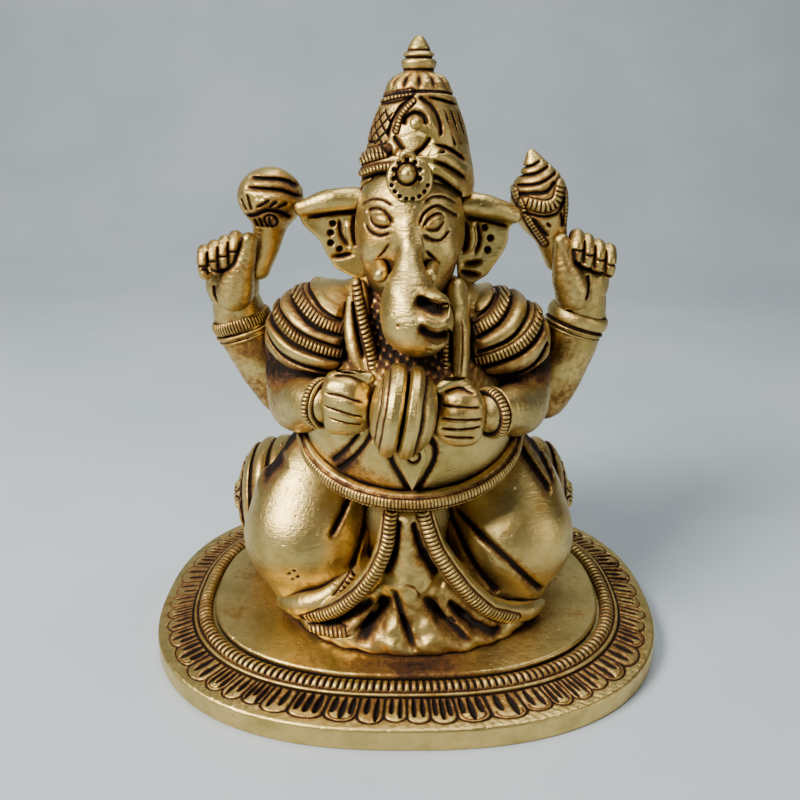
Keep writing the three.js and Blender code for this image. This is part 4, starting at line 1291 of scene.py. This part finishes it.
def conch(c):
    """A whorled shell that tapers to a point, with ribbed lips round its mouth."""
    c.add(c.limb([(20.0, 5.2, 82.9, 0.7), (21.3, 5.2, 78.5, 3.3), (21.8, 5.3, 75.3, 4.7), (24, 5.6, 70, 2.7),
                  (25.4, 6.4, 65.5, 1.9)], 7))
    c.wobble(0.1, 0.8)
    c.back = 20
    whorls = [([(18.6, 80.8), (20, 81.2), (21.4, 82)], 0.28),
              ([(18, 79.5), (20.5, 80), (22.8, 81.2)], 0.34),
              ([(17.6, 78.1), (21, 78.6), (24, 80.2)], 0.34),
              ([(17.8, 76.8), (20.2, 77.1), (22.2, 77.4), (23.6, 79)], 0.5),
              ([(18.6, 74.2), (19.8, 73.8), (22.1, 73.5), (24.4, 74.3), (25.2, 76.6)], 0.36),
              ([(20.2, 73.3), (21.4, 71.8), (23.1, 70)], 0.36),
              ([(24.6, 74.3), (25.1, 73), (25.3, 71.6)], 0.36),
              ([(22.4, 72.6), (23.3, 71.6)], 0.25)]
    for path, width in whorls:
        c.groove(path, 0.7 * width, 0.55, taper=0.5)
    c.cord([(18.8, 75.7), (21.9, 75.1), (23.9, 76), (24.6, 78.4)], 0.95, 0.5, 0.72)
    lip = [(17.2, 77.5), (18, 75.7), (18.8, 74.2), (20.1, 72.2), (21.7, 70.1), (22.8, 68.8)]
    c.cord(lip, 0.5, 0.3, 0.6, dark=0.5)
    c.cord([(25.4, 77.2), (25.8, 74.8), (25.9, 72.2)], 0.45, 0.3, 0.6, dark=0.5)


# ------------------------------------------------------------------ patina and painted shade


def widen(grid, reach):
    """Averages a grid over a cube of cells that reaches this far each way."""
    for axis in range(3):
        total = np.cumsum(grid, axis=axis)
        total = np.concatenate([np.zeros_like(np.take(total, [0], axis)), total], axis=axis)
        size = grid.shape[axis]
        high = np.clip(np.arange(size) + reach + 1, 0, size)
        low = np.clip(np.arange(size) - reach, 0, size)
        grid = (np.take(total, high, axis) - np.take(total, low, axis)) / (2 * reach + 1)
    return grid


def look_up(grid, points):
    """Values of a lattice grid at points, blended between its cells."""
    place = np.clip((points - LATTICE_LOW) / LATTICE, 0, np.array(grid.shape) - 1.001)
    low = np.floor(place).astype(int)
    part = place - low
    value = np.zeros(len(points))
    for corner in np.ndindex(2, 2, 2):
        weight = np.prod(np.abs(1 - np.array(corner) - part), axis=1)
        value += weight * grid[tuple((low + corner).T)]
    return value


def fill_plinth():
    """Adds the plinth to the lattice of metal."""
    x, y, z = (LATTICE_LOW[i] + LATTICE * np.arange(LATTICE_COUNT[i]) for i in range(3))
    for inset, top in ((0, WALL_HEIGHT), (PETAL_INSET, BED_HEIGHT), (SEAT_INSET, SEAT_HEIGHT)):
        across = (np.abs(x) / (HALF_WIDTH - inset)) ** SQUARENESS
        along = (np.abs(y) / (HALF_DEPTH - inset)) ** SQUARENESS
        plan = across[:, None] + along[None, :] < 1
        metal[:, :, z < top] |= plan[:, :, None]


def paint_crevice_shade(pieces):
    """Paints shade where pieces meet and in deep hollows, from how much metal surrounds each point, letting
    it stand also for the patina that polishing leaves there.
    """
    fill_plinth()
    close = widen(widen(metal.astype(np.float32), 1), 1)
    wide = widen(widen(close, 2), 2)
    for piece in pieces:
        mesh = piece.data
        count = len(mesh.vertices)
        points = np.zeros(count * 3, np.float32)
        normals = np.zeros(count * 3, np.float32)
        dark = np.zeros(count, np.float32)
        mesh.vertices.foreach_get("co", points)
        mesh.vertex_normals.foreach_get("vector", normals)
        values = mesh.attributes["patina_and_shade"].data
        values.foreach_get("value", dark)
        points = points.reshape(-1, 3) / MM
        normals = normals.reshape(-1, 3)
        # Painted shade: seam darkens points pressed close to other metal, and hollow darkens points deep in a
        # hollow.
        seam = np.clip((look_up(close, points + 0.35 * normals) - 0.5) / 0.26, 0, 1)
        hollow = np.clip((look_up(wide, points + 1.3 * normals) - 0.38) / 0.3, 0, 1)
        dark = np.maximum(dark, 0.95 * seam ** 1.3) + 0.5 * hollow * (1 - seam)
        values.foreach_set("value", dark.astype(np.float32))


class Nodes:
    """A short way to write a material's nodes."""

    def __init__(self, name):
        self.material = bpy.data.materials.new(name)
        self.material.use_nodes = True
        self.tree = self.material.node_tree
        self.tree.nodes.clear()

    def add(self, kind, **sockets):
        """A node with these sockets set, each to a number, a colour or another node's output."""
        node = self.tree.nodes.new("ShaderNode" + kind)
        for name, value in sockets.items():
            self.put(node, name.replace("_", " "), value)
        return node

    def put(self, node, socket, value):
        """Sets a socket, given by its name or its number."""
        target = node.inputs[socket]
        if isinstance(value, bpy.types.NodeSocket):
            self.tree.links.new(value, target)
        else:
            target.default_value = value

    def math(self, operation, a, b):
        node = self.tree.nodes.new("ShaderNodeMath")
        node.operation = operation
        self.put(node, 0, a)
        self.put(node, 1, b)
        return node.outputs[0]

    def ramp(self, value, stops):
        """A colour ramp through stops of place and colour, or of place and grey."""
        node = self.tree.nodes.new("ShaderNodeValToRGB")
        elements = node.color_ramp.elements
        while len(elements) < len(stops):
            elements.new(0.5)
        for element, (place, colour) in zip(elements, stops):
            element.position = place
            element.color = (*colour, 1) if isinstance(colour, tuple) else (colour, colour, colour, 1)
        self.put(node, "Fac", value)
        return node.outputs["Color"]

    def mix(self, factor, a, b):
        node = self.tree.nodes.new("ShaderNodeMix")
        node.data_type = "RGBA"
        self.put(node, 0, factor)
        self.put(node, 6, a)
        self.put(node, 7, b)
        return node.outputs[2]


PALE_GOLD = (0.66, 0.48, 0.165)
OLIVE_GOLD = (0.43, 0.31, 0.085)
WARM_GOLD = (0.50, 0.30, 0.065)
AMBER_BROWN = (0.30, 0.15, 0.035, 1)
RED_BROWN = (0.085, 0.033, 0.011, 1)
BLACK_BROWN = (0.012, 0.008, 0.006, 1)


def brass(name, gloss, tarnish, scratch):
    """Worn cast brass: clean metal on the high places, brown-black patina and painted shade in the low ones.
    """
    n = Nodes(name)
    where = n.add("TexCoord").outputs["Object"]
    patina_and_shade = n.add("Attribute")
    patina_and_shade.attribute_name = "patina_and_shade"
    clouds = n.add("TexNoise", Vector=where, Scale=130.0, Detail=4.0, Roughness=0.6).outputs["Fac"]
    grain = n.add("TexNoise", Vector=where, Scale=1000.0, Detail=5.0, Roughness=0.65).outputs["Fac"]
    specks = n.add("TexNoise", Vector=where, Scale=3000.0, Detail=3.0, Roughness=0.7).outputs["Fac"]
    # Painted shade: the attribute carries painted crevice shade as well as patina, and the ramps below turn
    # both into brown-black colour, less metal and more roughness.
    spread = n.math("ADD", patina_and_shade.outputs["Fac"], n.math("MULTIPLY", n.math("SUBTRACT", grain, 0.5), 0.7))
    spread = n.math("ADD", spread, n.math("MULTIPLY", n.math("SUBTRACT", clouds, 0.5), 0.6))
    tarnish_and_shade = n.ramp(n.math("ADD", spread, tarnish), [(0.2, 0.0), (0.5, 0.45), (0.85, 1.0)])
    colour = n.ramp(clouds, [(0.32, OLIVE_GOLD), (0.52, PALE_GOLD), (0.7, WARM_GOLD)])
    for start, end, dark_tone in ((0.0, 0.35, AMBER_BROWN), (0.3, 0.62, RED_BROWN), (0.6, 0.95, BLACK_BROWN)):
        colour = n.mix(n.ramp(tarnish_and_shade, [(start, 0.0), (end, 1.0)]), colour, dark_tone)
    shade = n.add("BsdfPrincipled", Base_Color=colour)
    n.put(shade, "Metallic", n.ramp(tarnish_and_shade, [(0.3, 1.0), (0.9, 0.1)]))
    n.put(shade, "Specular IOR Level", n.ramp(tarnish_and_shade, [(0.3, 0.4), (0.9, 0.06)]))
    rough = n.math("ADD", n.math("MULTIPLY", specks, 0.24), gloss)
    n.put(shade, "Roughness", n.math("ADD", rough, n.math("MULTIPLY", tarnish_and_shade, 0.45)))
    scored = n.add("Mapping", Vector=where, Scale=(400.0, 900.0, 4200.0), Rotation=(0.3, 0.7, 0.2))
    lines = n.add("TexNoise", Vector=scored.outputs["Vector"], Scale=1.0, Detail=2.0).outputs["Fac"]
    pits = n.add("TexVoronoi", Vector=where, Scale=480.0, Randomness=1.0).outputs["Distance"]
    pit_mask = n.ramp(pits, [(0.05, 0.0), (0.16, 1.0)])
    relief = n.math("ADD", n.math("MULTIPLY", grain, 0.7), n.math("MULTIPLY", specks, 0.3))
    relief = n.math("ADD", relief, n.math("MULTIPLY", lines, scratch))
    relief = n.math("ADD", relief, n.math("MULTIPLY", pit_mask, 0.35))
    bump = n.add("Bump", Height=relief, Strength=0.75, Distance=0.0002)
    n.put(shade, "Normal", bump.outputs["Normal"])
    output = n.add("OutputMaterial")
    n.put(output, "Surface", shade.outputs["BSDF"])
    return n.material


# ------------------------------------------------------------------ setting


MIDDLE = (0, 0, 45)


def floor_piece():
    """A plain pale table that curves up behind the figure."""
    front, back, radius, top = -600.0, 260.0, 220.0, 700.0
    rows = [(front, 0.0), (back, 0.0)]
    for a in np.linspace(0.1, math.pi / 2, 14):
        rows.append((back + radius * math.sin(a), radius - radius * math.cos(a)))
    rows.append((back + radius, top))
    points = np.array([(x, y, z) for y, z in rows for x in (-900.0, 900.0)])
    faces = np.array([(2 * i, 2 * i + 1, 2 * i + 3, 2 * i + 2) for i in range(len(rows) - 1)])
    piece = new_mesh("table", points, faces, np.zeros(len(points)))
    n = Nodes("pale_table")
    where = n.add("TexCoord").outputs["Object"]
    mottle = n.add("TexNoise", Vector=where, Scale=14.0, Detail=4.0).outputs["Fac"]
    colour = n.ramp(mottle, [(0.3, (0.36, 0.42, 0.46)), (0.7, (0.43, 0.48, 0.50))])
    shade = n.add("BsdfPrincipled", Base_Color=colour, Roughness=0.75)
    output = n.add("OutputMaterial")
    n.put(output, "Surface", shade.outputs["BSDF"])
    piece.data.materials.append(n.material)


def aimed(kind, name, place, target):
    """A light or camera at a place, turned to face a target."""
    thing = bpy.data.objects.new(name, kind)
    thing.location = Vector(place) * MM
    thing.rotation_euler = (Vector(target) - Vector(place)).to_track_quat("-Z", "Y").to_euler()
    bpy.context.scene.collection.objects.link(thing)
    return thing


def soft_light(name, place, size, power, colour):
    """A rectangular area light turned to the middle of the figure."""
    light = bpy.data.lights.new(name, "AREA")
    light.shape = "RECTANGLE"
    light.size = size[0] * MM
    light.size_y = size[1] * MM
    light.energy = power
    light.color = colour
    aimed(light, name, place, MIDDLE)


def lighting():
    soft_light("window", (-300, -220, 380), (180, 180), 5.5, (1.0, 0.98, 0.93))
    soft_light("sky", (60, 60, 520), (260, 200), 1.6, (0.95, 0.98, 1.0))
    soft_light("room", (420, -260, 160), (120, 260), 0.5, (1.0, 0.95, 0.88))
    world = bpy.data.worlds.new("room_light")
    world.use_nodes = True
    background = world.node_tree.nodes["Background"]
    background.inputs["Color"].default_value = (0.50, 0.53, 0.56, 1)
    background.inputs["Strength"].default_value = 0.13
    bpy.context.scene.world = world


def viewpoint():
    """A camera close in front of the figure and a little above it."""
    camera = bpy.data.cameras.new("camera")
    camera.lens = 36
    camera.sensor_width = 36
    camera.clip_start = 0.01
    place = (-1.1, -129.0, 91.7)
    pitch = math.radians(20.87)
    reach = 100
    target = (place[0], place[1] + reach * math.cos(pitch), place[2] - reach * math.sin(pitch))
    bpy.context.scene.camera = aimed(camera, "camera", place, target)


# ------------------------------------------------------------------ assembly


POLISHED = {
    torso: COARSE, right_leg: COARSE, left_leg: COARSE, head: FINE, trunk: FINE,
    right_tusk: FINE, left_tusk: FINE, right_ear: FINE, left_ear: FINE, forehead_jewel: FINE,
    navel_pendant: FINE, right_cymbal: FINE, left_cymbal: FINE, front_right_arm: MEDIUM,
    front_left_arm: MEDIUM, front_right_hand: FINE, front_left_hand: FINE, rear_right_arm: MEDIUM,
    rear_left_arm: MEDIUM, rear_right_hand: FINE, rear_left_hand: FINE,
}
ANTIQUED = {
    crown: FINE, crown_band: FINE, crown_finial: FINE, waist_belt: FINE, dhoti_pleats: MEDIUM,
    right_hem: FINE, left_hem: FINE, bolster: MEDIUM, right_sash: FINE, left_sash: FINE,
    right_shawl: FINE, left_shawl: FINE, front_right_bracelet: FINE, front_left_bracelet: FINE,
    rear_right_bracelet: FINE, rear_left_bracelet: FINE, mace: FINE, conch: FINE,
}

polished = brass("polished_brass", 0.24, 0.05, 0.35)
antiqued = brass("antiqued_brass", 0.28, 0.12, 0.2)
pieces = {base_plinth(): polished, seat_platform(): polished, rope_ring(): antiqued}
finishes = ((polished, "polished_brass", POLISHED), (antiqued, "antiqued_brass", ANTIQUED))
for material, slot, forms in finishes:
    for form, cell in forms.items():
        pieces[sculpt(form.__name__, form, cell)] = material
paint_crevice_shade(pieces)
for piece, material in pieces.items():
    piece.data.materials.append(material)

floor_piece()
lighting()
viewpoint()
